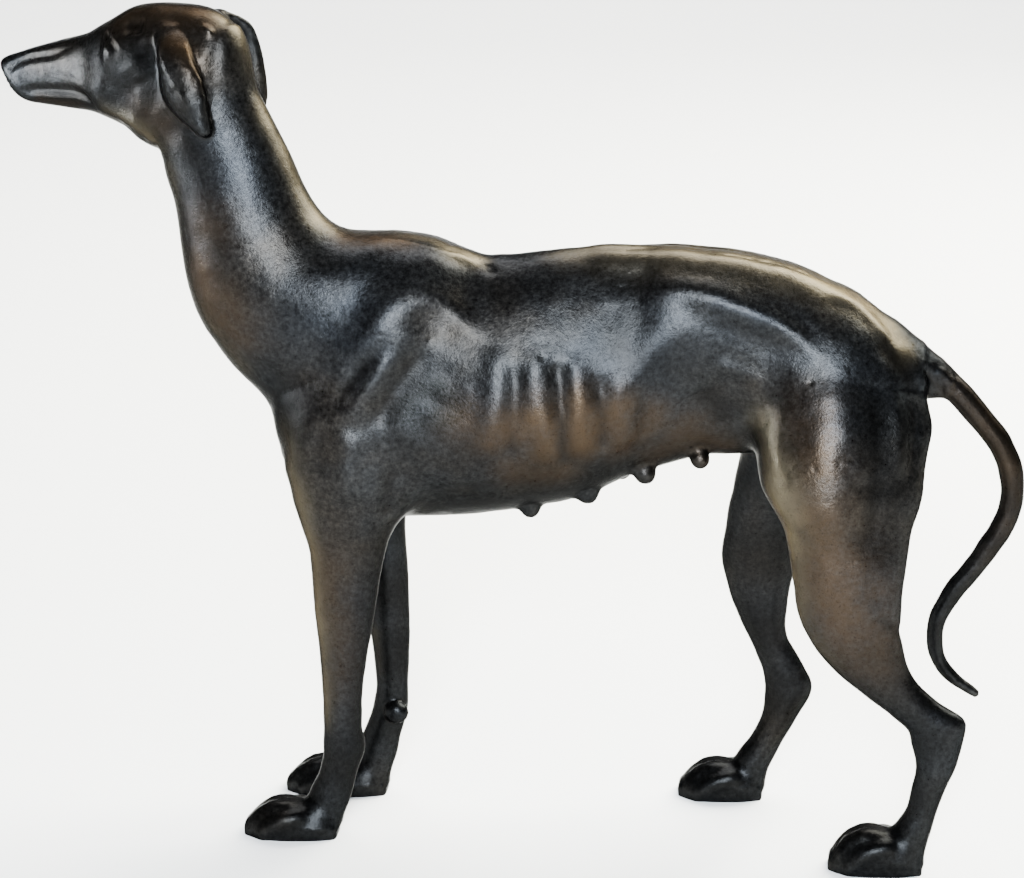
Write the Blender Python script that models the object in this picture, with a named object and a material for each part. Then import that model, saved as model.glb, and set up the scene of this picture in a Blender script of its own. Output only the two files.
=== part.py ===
"""A standing greyhound, cast in one piece. Sizes are in millimetres until the solid is placed, then metres.
It faces -X, its left side is towards -Y, and it stands on the plane z = 0."""
import math

import bmesh
import bpy
import numpy as np

STEP = 1.35           # spacing of the sculpting grid
FACES = 9300          # faces of the finished solid, before its soles are levelled
PLACE = (3.3, -0.7, 0.0)   # moves the middle of the outline to the origin
COLOUR = (0.040, 0.033, 0.028, 1.0)
BIG = 60.0            # "far outside"


# ---------------------------------------------------------------- curves
def spline(knots, values, at):
    """Monotone cubic through values at knots, read at `at`. No overshoot between stations."""
    x, y, q = (np.asarray(v, float) for v in (knots, values, at))
    y = y.reshape(len(x), -1)
    h = np.diff(x)[:, None]
    s = np.diff(y, axis=0) / h
    m = np.zeros_like(y)
    w1, w2 = 2 * h[1:] + h[:-1], h[1:] + 2 * h[:-1]
    same = s[:-1] * s[1:] > 0
    with np.errstate(divide="ignore", invalid="ignore"):
        inner = (w1 + w2) / (w1 / s[:-1] + w2 / s[1:])
    m[1:-1] = np.where(same, inner, 0.0)
    m[0], m[-1] = s[0], s[-1]
    i = np.clip(np.searchsorted(x, q) - 1, 0, len(x) - 2)
    t = ((q - x[i]) / h[i, 0])[:, None]
    a, b, c, d = y[i], y[i + 1], m[i] * h[i], m[i + 1] * h[i]
    return ((2 * t**3 - 3 * t**2 + 1) * a + (t**3 - 2 * t**2 + t) * c
            + (3 * t**2 - 2 * t**3) * b + (t**3 - t**2) * d)


def catmull(points, per=8):
    """Smooth curve through points, `per` samples a span."""
    p = np.asarray(points, float)
    if len(p) < 3:
        t = np.linspace(0, 1, per + 1)[:, None]
        return p[0] * (1 - t) + p[1] * t
    e = np.vstack([2 * p[0] - p[1], p, 2 * p[-1] - p[-2]])
    out = []
    for i in range(len(p) - 1):
        a, b, c, d = e[i:i + 4]
        t = np.linspace(0, 1, per, endpoint=False)[:, None]
        out.append(0.5 * (2 * b + (c - a) * t + (2 * a - 5 * b + 4 * c - d) * t**2
                          + (3 * b - a - 3 * c + d) * t**3))
    return np.vstack(out + [p[-1:]])


def unit(v):
    v = np.asarray(v, float)
    return v / np.maximum(np.linalg.norm(v, axis=-1, keepdims=True), 1e-12)


# ---------------------------------------------------------------- solids
class Loft:
    """A solid carried by ribs. A rib runs from its near edge A to its far edge B; `half` is its half width
    across, `wide` where along AB it is widest, p and q how square it is on the A and B sides."""

    def __init__(self, ribs, step=3.0, caps=(1.0, 1.0), across=(0, 1, 0)):
        A = np.array([r[0] for r in ribs], float)
        B = np.array([r[1] for r in ribs], float)
        half = np.array([r[2] for r in ribs], float)
        more = [r[3] if len(r) > 3 else {} for r in ribs]
        wide = np.array([m.get("wide", 0.5) for m in more])
        p = np.array([m.get("p", 2.0) for m in more])
        q = np.array([m.get("q", 2.0) for m in more])
        C = A + (B - A) * wide[:, None]
        size = np.linalg.norm(B - A, axis=1)
        run = np.concatenate([[0], np.cumsum(np.maximum(np.linalg.norm(np.diff(C, axis=0), axis=1), 1e-6))])
        n = max(2, int(math.ceil(run[-1] / step)) + 1)
        at = np.linspace(0, run[-1], n)
        table = np.column_stack([C, unit(B - A), half, size * wide, size * (1 - wide), p, q])
        d = spline(run, table, at)
        self.C, self.N = d[:, :3], unit(d[:, 3:6])
        L = np.array(across, float)
        if L.ndim == 1:
            L = np.repeat(L[None], n, 0)
        else:
            L = spline(run, L, at)
        L = L - self.N * np.sum(L * self.N, axis=1, keepdims=True)
        self.L = unit(L)
        self.T = np.cross(self.N, self.L)
        along = np.gradient(self.C, axis=0)
        flip = np.sign(np.sum(self.T * along, axis=1))
        flip[flip == 0] = 1
        self.T *= flip[:, None]
        self.half, self.rA, self.rB, self.p, self.q = d[:, 6], d[:, 7], d[:, 8], d[:, 9], d[:, 10]
        self.caps = caps
        self.k = 0
        r = np.maximum(np.maximum(self.rA, self.rB), self.half)[:, None]
        self.lo, self.hi = (self.C - r).min(0), (self.C + r).max(0)
        self.cT = np.sum(self.C * self.T, axis=1)
        self.r_end = (0.5 * (self.rA[0] + self.rB[0] + 2 * self.half[0]) / 2 * caps[0],
                      0.5 * (self.rA[-1] + self.rB[-1] + 2 * self.half[-1]) / 2 * caps[1])

    def section(self, r, N, L, half, rA, rB, p, q, a=None, ra=None):
        n, l = np.sum(r * N, axis=1), np.abs(np.sum(r * L, axis=1))
        rn = np.where(n < 0, rA, rB)
        e = np.where(n < 0, p, q)
        u, v = np.abs(n) / rn, l / half
        if np.all(np.abs(e - 2.0) < 1e-6):
            k2 = u * u + v * v
            if a is not None:
                k2 = k2 + (a / ra) ** 2
            k = np.sqrt(np.maximum(k2, 1e-12))
            g = (u / rn) ** 2 + (v / half) ** 2
            if a is not None:
                g = g + (a / ra / ra) ** 2
            g = np.sqrt(np.maximum(g, 1e-12)) / k
        else:
            u, v = np.maximum(u, 1e-6), np.maximum(v, 1e-6)
            ue, ve = u ** e, v ** e
            S = ue + ve
            if a is not None:
                w = np.maximum(np.abs(a) / ra, 1e-6)
                we = w ** e
                S = S + we
            k = S ** (1 / e)
            c = k / S
            g = (ue / u / rn * c) ** 2 + (ve / v / half * c) ** 2
            if a is not None:
                g = g + (we / w / ra * c) ** 2
            g = np.sqrt(np.maximum(g, 1e-12))
        return (k - 1) / np.maximum(g, 1e-6)

    def __call__(self, P):
        mid = 0.5 * (P.min(0) + P.max(0))
        R = np.linalg.norm(P - mid, axis=1).max() + 1e-6
        s0 = self.T @ mid - self.cT
        f = np.full(len(P), BIG)
        m = len(self.C)
        for i in range(m - 1):
            if min(s0[i], s0[i + 1]) > R or max(s0[i], s0[i + 1]) < -R:
                continue
            if np.linalg.norm(mid - self.C[i]) > R + 45 + max(self.rA[i], self.rB[i], self.half[i]):
                continue
            a, b = P @ self.T[i] - self.cT[i], P @ self.T[i + 1] - self.cT[i + 1]
            on = (a >= 0) & (b < 0)
            if not on.any():
                continue
            a, b, X = a[on], b[on], P[on]
            t = a / (a - b)
            T = t[:, None]
            mix = lambda v: v[i] + (v[i + 1] - v[i]) * (T if v.ndim == 2 else t)
            d = self.section(X - mix(self.C), unit(mix(self.N)), unit(mix(self.L)), mix(self.half),
                             mix(self.rA), mix(self.rB), mix(self.p), mix(self.q))
            f[on] = np.minimum(f[on], d)
        for i, sign, cap in ((0, -1, self.r_end[0]), (m - 1, 1, self.r_end[1])):
            a = (P @ self.T[i] - self.cT[i]) * sign
            on = (a >= 0) & (a < cap + 25)
            if not on.any():
                continue
            X = P[on] - self.C[i]
            d = self.section(X, self.N[i], self.L[i], self.half[i], self.rA[i], self.rB[i],
                             self.p[i], self.q[i], a[on], cap)
            f[on] = np.minimum(f[on], d)
        return f


class Egg:
    """An ellipsoid: centre, three half sizes, and the directions of the first two."""

    def __init__(self, c, r, u=(1, 0, 0), v=(0, 1, 0)):
        self.c, self.r = np.array(c, float), np.array(r, float)
        u = unit(u)
        v = np.array(v, float)
        v = unit(v - u * (u @ v))
        self.M = np.array([u, v, np.cross(u, v)])
        reach = self.r.max()
        self.lo, self.hi = self.c - reach, self.c + reach

    def __call__(self, P):
        q = ((P - self.c) @ self.M.T) / self.r
        k = np.sqrt(np.maximum((q * q).sum(1), 1e-12))
        g = np.sqrt(np.maximum(((q / self.r) ** 2).sum(1), 1e-12))
        return k * (k - 1) / g


class Rod:
    """A round rod along points, with a radius at each."""

    def __init__(self, points, radii, per=6):
        raw = np.asarray(points, float)
        self.c = catmull(raw, per) if len(raw) > 2 else raw
        run = np.concatenate([[0], np.cumsum(np.linalg.norm(np.diff(raw, axis=0), axis=1))])
        t = np.concatenate([[0], np.cumsum(np.linalg.norm(np.diff(self.c, axis=0), axis=1))])
        t = t / t[-1] * run[-1]
        self.r = spline(run, np.asarray(radii, float), t)[:, 0] if len(raw) > 2 else np.asarray(radii, float)
        m = self.r.max()
        self.lo, self.hi = self.c.min(0) - m, self.c.max(0) + m

    def __call__(self, P):
        mid = 0.5 * (P.min(0) + P.max(0))
        R = np.linalg.norm(P - mid, axis=1).max()
        a, b = self.c[:-1], self.c[1:]
        ab = b - a
        t = np.clip(((mid - a) * ab).sum(1) / (ab * ab).sum(1), 0, 1)
        d0 = np.linalg.norm(mid - a - ab * t[:, None], axis=1)
        f = np.full(len(P), BIG)
        for i in np.where(d0 <= d0.min() + 2 * R + self.r.max())[0]:
            t = np.clip(((P - a[i]) @ ab[i]) / (ab[i] @ ab[i]), 0, 1)
            d = np.linalg.norm(P - a[i] - t[:, None] * ab[i], axis=1) - (self.r[i] + (self.r[i + 1] - self.r[i]) * t)
            f = np.minimum(f, d)
        return f


class Stroke:
    """A line drawn on the surface. It lifts (height > 0) or sinks the surface beside it, fading over `width`."""

    def __init__(self, points, width, height, per=6, fade=0.22):
        raw = np.asarray(points, float)
        self.c = catmull(raw, per) if len(raw) > 1 else np.vstack([raw, raw + 1e-3])
        n = len(self.c)
        t = np.linspace(0, 1, n)
        ends = np.clip(np.minimum(t, 1 - t) / max(fade, 1e-6), 0, 1)
        ends = ends * ends * (3 - 2 * ends) if fade > 0 else np.ones(n)
        w = np.interp(t, np.linspace(0, 1, len(np.atleast_1d(width))), np.atleast_1d(width))
        h = np.interp(t, np.linspace(0, 1, len(np.atleast_1d(height))), np.atleast_1d(height))
        self.w, self.h = w, h * ends
        m = 2.4 * w.max()
        self.lo, self.hi = self.c.min(0) - m, self.c.max(0) + m

    def __call__(self, P):
        a, b = self.c[:-1], self.c[1:]
        ab = b - a
        mid = 0.5 * (P.min(0) + P.max(0))
        R = np.linalg.norm(P - mid, axis=1).max()
        t = np.clip(((mid - a) * ab).sum(1) / np.maximum((ab * ab).sum(1), 1e-9), 0, 1)
        close = np.where(np.linalg.norm(mid - a - ab * t[:, None], axis=1) < R + 2.4 * self.w.max())[0]
        best = np.full(len(P), 6.0)
        lift = np.zeros(len(P))
        for i in close:
            t = np.clip(((P - a[i]) @ ab[i]) / max(ab[i] @ ab[i], 1e-9), 0, 1)
            w = self.w[i] + (self.w[i + 1] - self.w[i]) * t
            d2 = ((P - a[i] - t[:, None] * ab[i]) ** 2).sum(1) / (w * w)
            better = d2 < best
            best = np.where(better, d2, best)
            lift = np.where(better, self.h[i] + (self.h[i + 1] - self.h[i]) * t, lift)
        return lift * np.exp(-best)


# ---------------------------------------------------------------- the field
class Field:
    def __init__(self):
        self.ops = []

    def add(self, solid, k=0.0):
        self.ops.append(("add", solid, k))

    def cut(self, solid, k=0.0):
        self.ops.append(("cut", solid, k))

    def draw(self, stroke):
        self.ops.append(("draw", stroke, 0.0))

    def near(self, lo, hi, margin=6.0):
        out = []
        for op in self.ops:
            m = margin + op[2] if op[0] != "draw" else 0.0
            if (op[1].lo - m <= hi).all() and (op[1].hi + m >= lo).all():
                out.append(op)
        return out

    def at(self, P, ops=None, margin=6.0):
        if ops is None:
            ops = self.near(P.min(0), P.max(0), margin)
        f = np.full(len(P), BIG)
        for kind, solid, k in ops:
            if kind == "draw":
                f = f - solid(P)
                continue
            d = solid(P)
            if kind == "add":
                if k > 0:
                    h = np.maximum(k - np.abs(f - d), 0) / k
                    f = np.minimum(f, d) - h * h * k * 0.25
                else:
                    f = np.minimum(f, d)
            else:
                d = -d
                if k > 0:
                    h = np.maximum(k - np.abs(f - d), 0) / k
                    f = np.maximum(f, d) + h * h * k * 0.25
                else:
                    f = np.maximum(f, d)
        return f

    def drop(self, start, way, reach=60.0):
        """The outermost surface point over `start`, seen from `way`."""
        start, way = np.asarray(start, float), unit(way)
        t = np.linspace(reach, 0, 241)
        P = start + t[:, None] * way
        f = np.concatenate([self.at(P[i:i + 40]) for i in range(0, len(t), 40)])
        inside = np.where(f < 0)[0]
        if len(inside) == 0:
            return None
        i = max(inside[0], 1)
        s = f[i - 1] / (f[i - 1] - f[i])
        return start + (t[i - 1] + (t[i] - t[i - 1]) * s) * way


def grid_of(field, lo, hi, h, block=14, slack=2.2):
    """The field on a grid of step h, worked out in full only in blocks near the surface."""
    lo = np.asarray(lo, float)
    n = np.ceil((np.asarray(hi, float) - lo) / h / block).astype(int)
    size = n * block + 1
    F = np.full(size, BIG, np.float32)
    r = 0.5 * block * h
    half = r * math.sqrt(3)
    offs = np.stack(np.meshgrid(*[np.arange(block + 1)] * 3, indexing="ij"), -1).reshape(-1, 3) * h

    for i in range(n[0]):
        for j in range(n[1]):
            for k in range(n[2]):
                base = lo + np.array([i, j, k]) * block * h
                ops = field.near(base, base + 2 * r)
                if not any(o[0] == "add" for o in ops):
                    continue
                c = base + r
                test = np.array([c, c + (r * .5, 0, 0), c - (r * .5, 0, 0), c + (0, r * .5, 0), c - (0, r * .5, 0), c + (0, 0, r * .5), c - (0, 0, r * .5)])
                v = field.at(test, ops)
                s = (slice(i * block, (i + 1) * block + 1), slice(j * block, (j + 1) * block + 1), slice(k * block, (k + 1) * block + 1))
                if v.min() > half * slack + 1:
                    continue
                if v.max() < -(half * 1.3 + 1):
                    F[s] = -BIG
                    continue
                F[s] = field.at(base + offs, ops).reshape([block + 1] * 3)

    return F, lo


def untangle(G):
    """Fills the pinched places of the grid, where the surface would touch itself along an edge."""
    for _ in range(12):
        S = G < 0
        found = 0
        for a, b in ((0, 1), (0, 2), (1, 2)):
            corner = []
            for i, j in ((0, 0), (1, 1), (0, 1), (1, 0)):
                k = [slice(None)] * 3
                k[a], k[b] = slice(i, G.shape[a] - 1 + i), slice(j, G.shape[b] - 1 + j)
                corner.append(tuple(k))
            A, B, C, D = corner
            pinch = (S[A] == S[B]) & (S[C] == S[D]) & (S[A] != S[C])
            if not pinch.any():
                continue
            found += 1
            for one, two in ((A, B), (C, D)):
                open_ = pinch & ~S[one]
                first = np.abs(G[one]) <= np.abs(G[two])
                G[one][open_ & first] = -.02
                G[two][open_ & ~first] = -.02
        if not found:
            break


def surface_nets(F, lo, h):
    """Vertices and quads of the surface F = 0, negative inside."""
    untangle(F)
    S = F < 0
    nx, ny, nz = F.shape
    c = np.zeros((nx - 1, ny - 1, nz - 1), np.uint8)
    for dx in (0, 1):
        for dy in (0, 1):
            for dz in (0, 1):
                c += S[dx:nx - 1 + dx, dy:ny - 1 + dy, dz:nz - 1 + dz]
    active = (c > 0) & (c < 8)
    cells = np.argwhere(active)
    number = np.full(active.shape, -1, np.int32)
    number[active] = np.arange(len(cells))
    corners = np.array([(dx, dy, dz) for dx in (0, 1) for dy in (0, 1) for dz in (0, 1)])
    val = np.stack([F[cells[:, 0] + a, cells[:, 1] + b, cells[:, 2] + d] for a, b, d in corners], 1).astype(float)
    val = np.clip(val, -4 * h, 4 * h)
    edges = [(a, b) for a in range(8) for b in range(a + 1, 8) if np.abs(corners[a] - corners[b]).sum() == 1]
    tot = np.zeros((len(cells), 3))
    cnt = np.zeros(len(cells))
    for a, b in edges:
        va, vb = val[:, a], val[:, b]
        on = (va < 0) != (vb < 0)
        t = np.where(on, va / np.where(on, va - vb, 1), 0)
        pt = corners[a] + (corners[b] - corners[a]) * t[:, None]
        tot += pt * on[:, None]
        cnt += on
    V = lo + (cells + tot / cnt[:, None]) * h
    quads = []
    for axis in range(3):
        a = [slice(1, -1)] * 3
        b = [slice(1, -1)] * 3
        a[axis], b[axis] = slice(0, -1), slice(1, None)
        A, B = S[tuple(a)], S[tuple(b)]
        for flip, on in ((False, A & ~B), (True, ~A & B)):
            idx = np.argwhere(on)
            idx = idx + np.array([1 if d != axis else 0 for d in range(3)])
            u, w = [(1, 2), (2, 0), (0, 1)][axis]
            q = []
            for du, dw in ((-1, -1), (0, -1), (0, 0), (-1, 0)):
                o = idx.copy()
                o[:, u] += du
                o[:, w] += dw
                q.append(number[o[:, 0], o[:, 1], o[:, 2]])
            q = np.stack(q, 1)
            quads.append(q[:, ::-1] if flip else q)
    return V, np.vstack(quads)


def sample(F, lo, h, P):
    """F between its grid points, and its slope."""
    g = (P - lo) / h
    i = np.clip(np.floor(g).astype(int), 0, np.array(F.shape) - 2)
    t = g - i
    x, y, z = i.T
    v = [F[x + a, y + b, z + c].astype(float) for a in (0, 1) for b in (0, 1) for c in (0, 1)]
    tx, ty, tz = t.T
    c00, c01, c10, c11 = (v[0] * (1 - tx) + v[4] * tx, v[1] * (1 - tx) + v[5] * tx, v[2] * (1 - tx) + v[6] * tx, v[3] * (1 - tx) + v[7] * tx)
    c0, c1 = c00 * (1 - ty) + c10 * ty, c01 * (1 - ty) + c11 * ty
    return c0 * (1 - tz) + c1 * tz


def settle(V, F, lo, h, rounds=2):
    """Moves each vertex onto the surface."""
    for _ in range(rounds):
        f = sample(F, lo, h, V)
        g = np.stack([(sample(F, lo, h, V + d) - sample(F, lo, h, V - d)) / (1.0 * h) for d in np.eye(3) * h * 0.5], 1)
        g2 = np.maximum((g * g).sum(1), 0.05)
        step = np.clip(f / g2, -h, h)
        V = V - g * step[:, None]
    return V


def relax(V, quads, share=0.5, rounds=1):
    """Evens out the spacing of the vertices."""
    pairs = np.vstack([quads[:, [0, 1]], quads[:, [1, 2]], quads[:, [2, 3]], quads[:, [3, 0]]])
    pairs = np.unique(np.sort(pairs, axis=1), axis=0)
    for _ in range(rounds):
        tot = np.zeros_like(V)
        cnt = np.zeros(len(V))
        for a, b in ((0, 1), (1, 0)):
            for d in range(3):
                tot[:, d] += np.bincount(pairs[:, a], weights=V[pairs[:, b], d], minlength=len(V))
            cnt += np.bincount(pairs[:, a], minlength=len(V))
        V = V + share * (tot / cnt[:, None] - V)
    return V


YAW = math.radians(20)
PIVOT = -96.0


def head(x, y, z):
    """A point of the head, given in the head's own upright plane, set into the turned pose."""
    c, s = math.cos(YAW), math.sin(YAW)
    return (PIVOT + (x - PIVOT) * c + y * s, -(x - PIVOT) * s + y * c, z)


def rib(x0, z0, x1, z1, y, half, **more):
    y0, y1 = y if isinstance(y, tuple) else (y, y)
    return ((x0, y0, z0), (x1, y1, z1), half, more)


# x and z of the lower and the upper edge, y of the middle, half width
SPINE = [
    rib(-114, 237, -89.5, 274.5, (4.5, -2.0), 12.5),
    rib(-114, 228.5, -86, 262, (3.5, -1.6), 13.5),
    rib(-110.8, 215.5, -79.8, 248.5, (2.0, -1.0), 14.5),
    rib(-109.4, 203, -73.2, 235, (1.0, -.5), 16),
    rib(-107.6, 190, -66.4, 219.5, 0, 18),
    rib(-104.6, 180, -57.6, 210, 0, 20),
    rib(-94.6, 164, -38.5, 208.8, 0, 22.5),
    rib(-81, 148.5, -24, 206.5, 0, 24.5),
    rib(-76, 128, -14, 203.2, 0, 26, wide=0.47, q=1.9),
    rib(-62, 112, -6, 201.8, 0, 27.8, wide=0.45, p=1.9, q=1.8),
    rib(-37.5, 111.5, 3, 202.7, 0, 28.8, wide=0.43, p=1.9, q=1.7),
    rib(-12, 113.3, 14, 204.3, 0, 28.5, wide=0.42, p=1.9, q=1.7),
    rib(12, 117.5, 28, 206, 0, 26.5, wide=0.41, p=1.9, q=1.6),
    rib(35, 126, 42.5, 206.3, 0, 23.3, wide=0.46, p=1.9, q=1.6),
    rib(52, 132.5, 54.5, 206.3, 0, 20.3, wide=0.64, q=1.8),
    rib(68, 136.5, 67.5, 205.5, 0, 19.5, wide=0.72, p=1.9, q=1.8),
    rib(84, 138, 81.5, 203.6, 0, 19.5, wide=0.70, p=1.9, q=1.8),
    rib(98, 141, 94.5, 200, 0, 18.5, wide=0.62, q=1.9),
    rib(111, 147, 107.5, 194.3, 0, 14.5, wide=0.5),
    rib(123, 153, 121, 186.2, 0, 10, wide=0.5),
    rib(132, 157, 133, 176.5, 0, 7.5, wide=0.5),
]
TWIST = (18, 15, 11, 7, 3)  # degrees each of the first ribs is turned with the head

HEAD = [  # x, lower z, upper z, half width, how square, lean of the section
    (-178.6, 251.4, 257.4, 2.6, 2.4, 2.0),
    (-177.0, 247.5, 258.8, 4.2, 2.5, 2.4),
    (-172.8, 245.3, 260.6, 5.4, 2.7, 2.2),
    (-164.5, 244.7, 263.6, 6.2, 3.2, 1.2),
    (-154, 244.4, 266.8, 7.3, 3.3, 1.0),
    (-144, 244.0, 270.0, 8.7, 3.0, 0),
    (-135, 242.3, 274.8, 11.8, 2.7, 0),
    (-128.5, 239.8, 278.6, 13.3, 2.4, 0),
    (-121.5, 234.8, 280.8, 13.9, 2.2, 0),
    (-110, 232.5, 281.7, 14.3, 2.1, 0),
    (-101, 237.5, 281.4, 14.0, 2.0, 0),
    (-94, 246, 279.0, 11.6, 2.0, 0),
    (-90.5, 252, 275.5, 8.6, 2.0, 0),
]

LEGS = {
    "left_fore": dict(ribs=[
        rib(-72, 131, -33, 126, -17.5, 9),
        rib(-70.3, 118, -38, 113.5, -17.5, 8.8),
        rib(-66.3, 103.5, -41.2, 101, -17, 7.6),
        rib(-65.4, 91, -43.5, 88.5, -16.8, 6.9),
        rib(-64.6, 76.5, -45.7, 75, -16.6, 6.2),
        rib(-63.4, 64, -47.7, 64, -16.5, 5.7),
        rib(-63, 52, -49.2, 51.5, -16.5, 5.4),
        rib(-62.8, 40.5, -49.8, 40, -16.5, 5.6),
        rib(-63, 32, -48.5, 33, -16.5, 5.6),
        rib(-64.3, 24, -51.5, 23, -16.5, 5.3),
        rib(-68.5, 14, -54.6, 11.5, -16.5, 6.0),
        rib(-71, 6.5, -57.2, 4.5, -16.5, 6.6),
    ], paw=(-90.4, -58.4, -18.2, 12.4)),
    "right_fore": dict(ribs=[
        rib(-60, 131, -30, 128.5, 15, 9),
        rib(-56, 118, -35.5, 115, 15, 8.4),
        rib(-54, 105, -38.5, 103, 14.5, 7.4),
        rib(-53.2, 93, -38, 90.5, 14.7, 6.6),
        rib(-52.5, 78.5, -37.5, 77.5, 15, 6.0),
        rib(-51.8, 66, -37.5, 66, 15.5, 5.6),
        rib(-50.4, 53.5, -37.8, 53, 16, 5.4),
        rib(-49.6, 42, -38.3, 41.5, 16.5, 5.5),
        rib(-51.0, 33.5, -38.6, 33, 17, 5.5),
        rib(-54, 24.5, -41.2, 22.8, 17.5, 5.3),
        rib(-57.5, 15.5, -43.6, 12.5, 18, 6.0),
        rib(-60.5, 6, -46.6, 4.5, 18, 6.6),
    ], paw=(-82.3, -46.6, 18, 12.2)),
    "left_hind": dict(ribs=[
        rib(97, 172, 131, 164, -9, 10, wide=.36, q=1.7),
        rib(90, 154, 137, 150, -15, 13.4, wide=.36, q=1.6),
        rib(84.5, 134.5, 135.4, 133.5, -20.5, 13.0, wide=.40, q=1.65),
        rib(91.5, 119, 132, 118.5, -24, 10.8, wide=.40, q=1.7),
        rib(94.3, 104, 130.5, 105.5, -27, 8.8, wide=.42, q=1.8),
        rib(96.4, 92, 129.8, 96.5, -28, 7.4),
        rib(102, 80.5, 130, 87.5, -28.3, 6.5),
        rib(110.2, 71.2, 132.0, 77, -28.1, 5.8),
        rib(119.0, 63.7, 135.4, 69.4, -27.5, 5.2),
        rib(127.4, 57.2, 142.6, 62.2, -27, 4.9),
        rib(134.5, 49.5, 152.7, 54.5, -27, 4.8),
        rib(136.8, 40, 150.7, 41.5, -26.5, 4.7),
        rib(135.8, 30, 147, 30, -26, 4.7),
        rib(134.5, 22.5, 144.5, 21.5, -25.5, 5.0),
        rib(130.5, 14.5, 142, 10.5, -25, 6.0),
        rib(127.5, 7.5, 139.5, 5, -25, 6.6),
    ], paw=(109.6, 140.6, -24.5, 14.8)),
    "right_hind": dict(ribs=[
        rib(88, 170, 124, 164, 9, 10, wide=.36, q=1.7),
        rib(80, 152, 120, 149, 15, 13.4, wide=.36, q=1.6),
        rib(76.6, 134.5, 114, 135, 19.8, 13.0, wide=.40, q=1.65),
        rib(73.8, 119, 108.5, 121, 22.5, 10.8, wide=.40, q=1.7),
        rib(71.4, 104, 102.5, 109, 24.5, 8.8, wide=.42, q=1.8),
        rib(70, 92, 97.6, 97, 25.5, 7.2),
        rib(72.5, 79.5, 95.2, 85.5, 26.5, 6.2),
        rib(77, 67, 93.2, 73, 27, 5.5),
        rib(82, 56.5, 93.7, 61, 27.5, 5.0),
        rib(85.3, 48, 99.8, 49.8, 27.5, 4.8),
        rib(86.3, 40.0, 102.9, 42.5, 27.5, 4.7),
        rib(85.3, 30.5, 97.7, 30.5, 27.5, 4.7),
        rib(82, 23, 93.5, 22, 27.5, 5.0),
        rib(77, 15, 89.5, 13, 27.8, 6.0),
        rib(74, 7.5, 86.5, 5, 28, 6.6),
    ], paw=(57.0, 86.2, 27.9, 12.9)),
}

TAIL = [(122, 178, 5.6), (131, 171.5, 5.0), (140, 165, 4.5), (146, 160, 4.3), (151.5, 154, 4.2), (155.8, 149, 4.1),
    (159.8, 144, 4.1), (162.3, 139.5, 4.0), (164.3, 134.5, 4.0), (165.3, 128, 3.9), (165.2, 123, 3.9), (164.2, 118, 3.8),
    (162, 112.5, 3.8), (159, 107.5, 3.7), (155.5, 101.5, 3.6), (151.7, 96, 3.5), (148, 90.8, 3.4), (145.2, 85.5, 3.2),
    (143.2, 80.5, 3.0), (142.6, 74.5, 2.8), (143.3, 68.5, 2.6), (145.7, 63.7, 2.4), (149.7, 59.3, 2.1), (154, 56.3, 1.9),
    (157, 54.3, 1.6)]


def paw(tip, heel, y, top):
    """A low flat-soled paw with four arched toes over it. It reaches below the ground and is cut level there."""
    n = heel - tip
    body = [((tip + n * s, y, -3.5), (tip + n * s, y, top * z), w, dict(p=3.2, q=2.1, wide=.45)) for s, z, w in (
        (.03, .40, 4.6), (.10, .60, 6.4), (.24, .80, 8.2), (.42, .92, 8.8), (.60, .92, 8.3), (.80, .84, 7.4), (.96, .52, 5.6))]
    out = [(Loft(body, step=2.0, caps=(.25, .25)), 4.0)]
    for oy, back, r, up in ((-6.3, 4.4, 3.2, .86), (-2.4, 0.0, 3.6, 1.0), (2.4, 0.5, 3.6, 1.0), (6.3, 5.0, 3.2, .86)):
        t = tip + back
        out.append((Rod([(tip + 21, y + oy * .62, top * .72 - r * .6), (t + 13.5, y + oy * .9, top * up - r),
                         (t + 7.5, y + oy, top * up * .84 - r), (t + r * .85, y + oy * .98, r * .62)],
                        [r, r + .2, r, r * .86]), 1.5))
    return out


# Leading edge and trailing edge of each ear (x, out from the middle of the head, z), half its thickness,
# and where along it the fold stands highest
NEAR_EAR = [
    ((-112.6, 9.2, 274.4), (-104.2, 9.2, 275.2), 2.4, .40),
    ((-111.2, 11.2, 272.0), (-100.1, 11.4, 272.8), 3.2, .34),
    ((-109.4, 13.2, 268.7), (-97.4, 13.8, 269.3), 3.9, .32),
    ((-108.4, 14.4, 264.2), (-95.0, 15.0, 265.6), 4.3, .40),
    ((-107.6, 14.9, 259.5), (-92.4, 15.4, 261.0), 4.3, .50),
    ((-106.6, 15.0, 254.7), (-91.0, 15.4, 255.5), 4.2, .58),
    ((-104.0, 15.0, 250.6), (-90.4, 15.2, 251.0), 3.9, .62),
    ((-99.8, 14.9, 246.9), (-90.0, 15.0, 247.6), 3.4, .62),
    ((-95.0, 14.6, 243.6), (-89.8, 14.6, 244.6), 2.8, .60),
]
FAR_EAR = [
    ((-103, 7.5, 277.6), (-96.0, 7.5, 278.8), 2.0, .5),
    ((-104, 10.5, 275.2), (-92.8, 10.5, 277.0), 2.8, .5),
    ((-104, 13.0, 272.0), (-90.2, 13.0, 274.2), 3.4, .5),
    ((-103.5, 14.4, 267.5), (-88.8, 15.0, 268.6), 3.8, .5),
    ((-102.5, 14.7, 261.0), (-87.4, 15.4, 261.6), 3.8, .55),
    ((-101, 14.8, 254.7), (-86.3, 15.2, 255.0), 3.6, .6),
    ((-97.5, 14.8, 250.6), (-85.9, 14.9, 251.0), 3.2, .6),
    ((-92, 14.5, 247.6), (-86.4, 14.5, 248.4), 2.6, .6),
]

LOIN = ((30, 1.2, 203.6), (44, 3.2, 204.6), (58, 4.6, 204.7), (72, 5.2, 203.2), (86, 5.2, 200.6), (98, 4.6, 196.4), (109, 3.2, 190.6))  # x, half width, top
TEATS = ((7, 0.8), (26, 0.9), (45, 0.9), (63, 0.8))  # x of the near row and size

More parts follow.
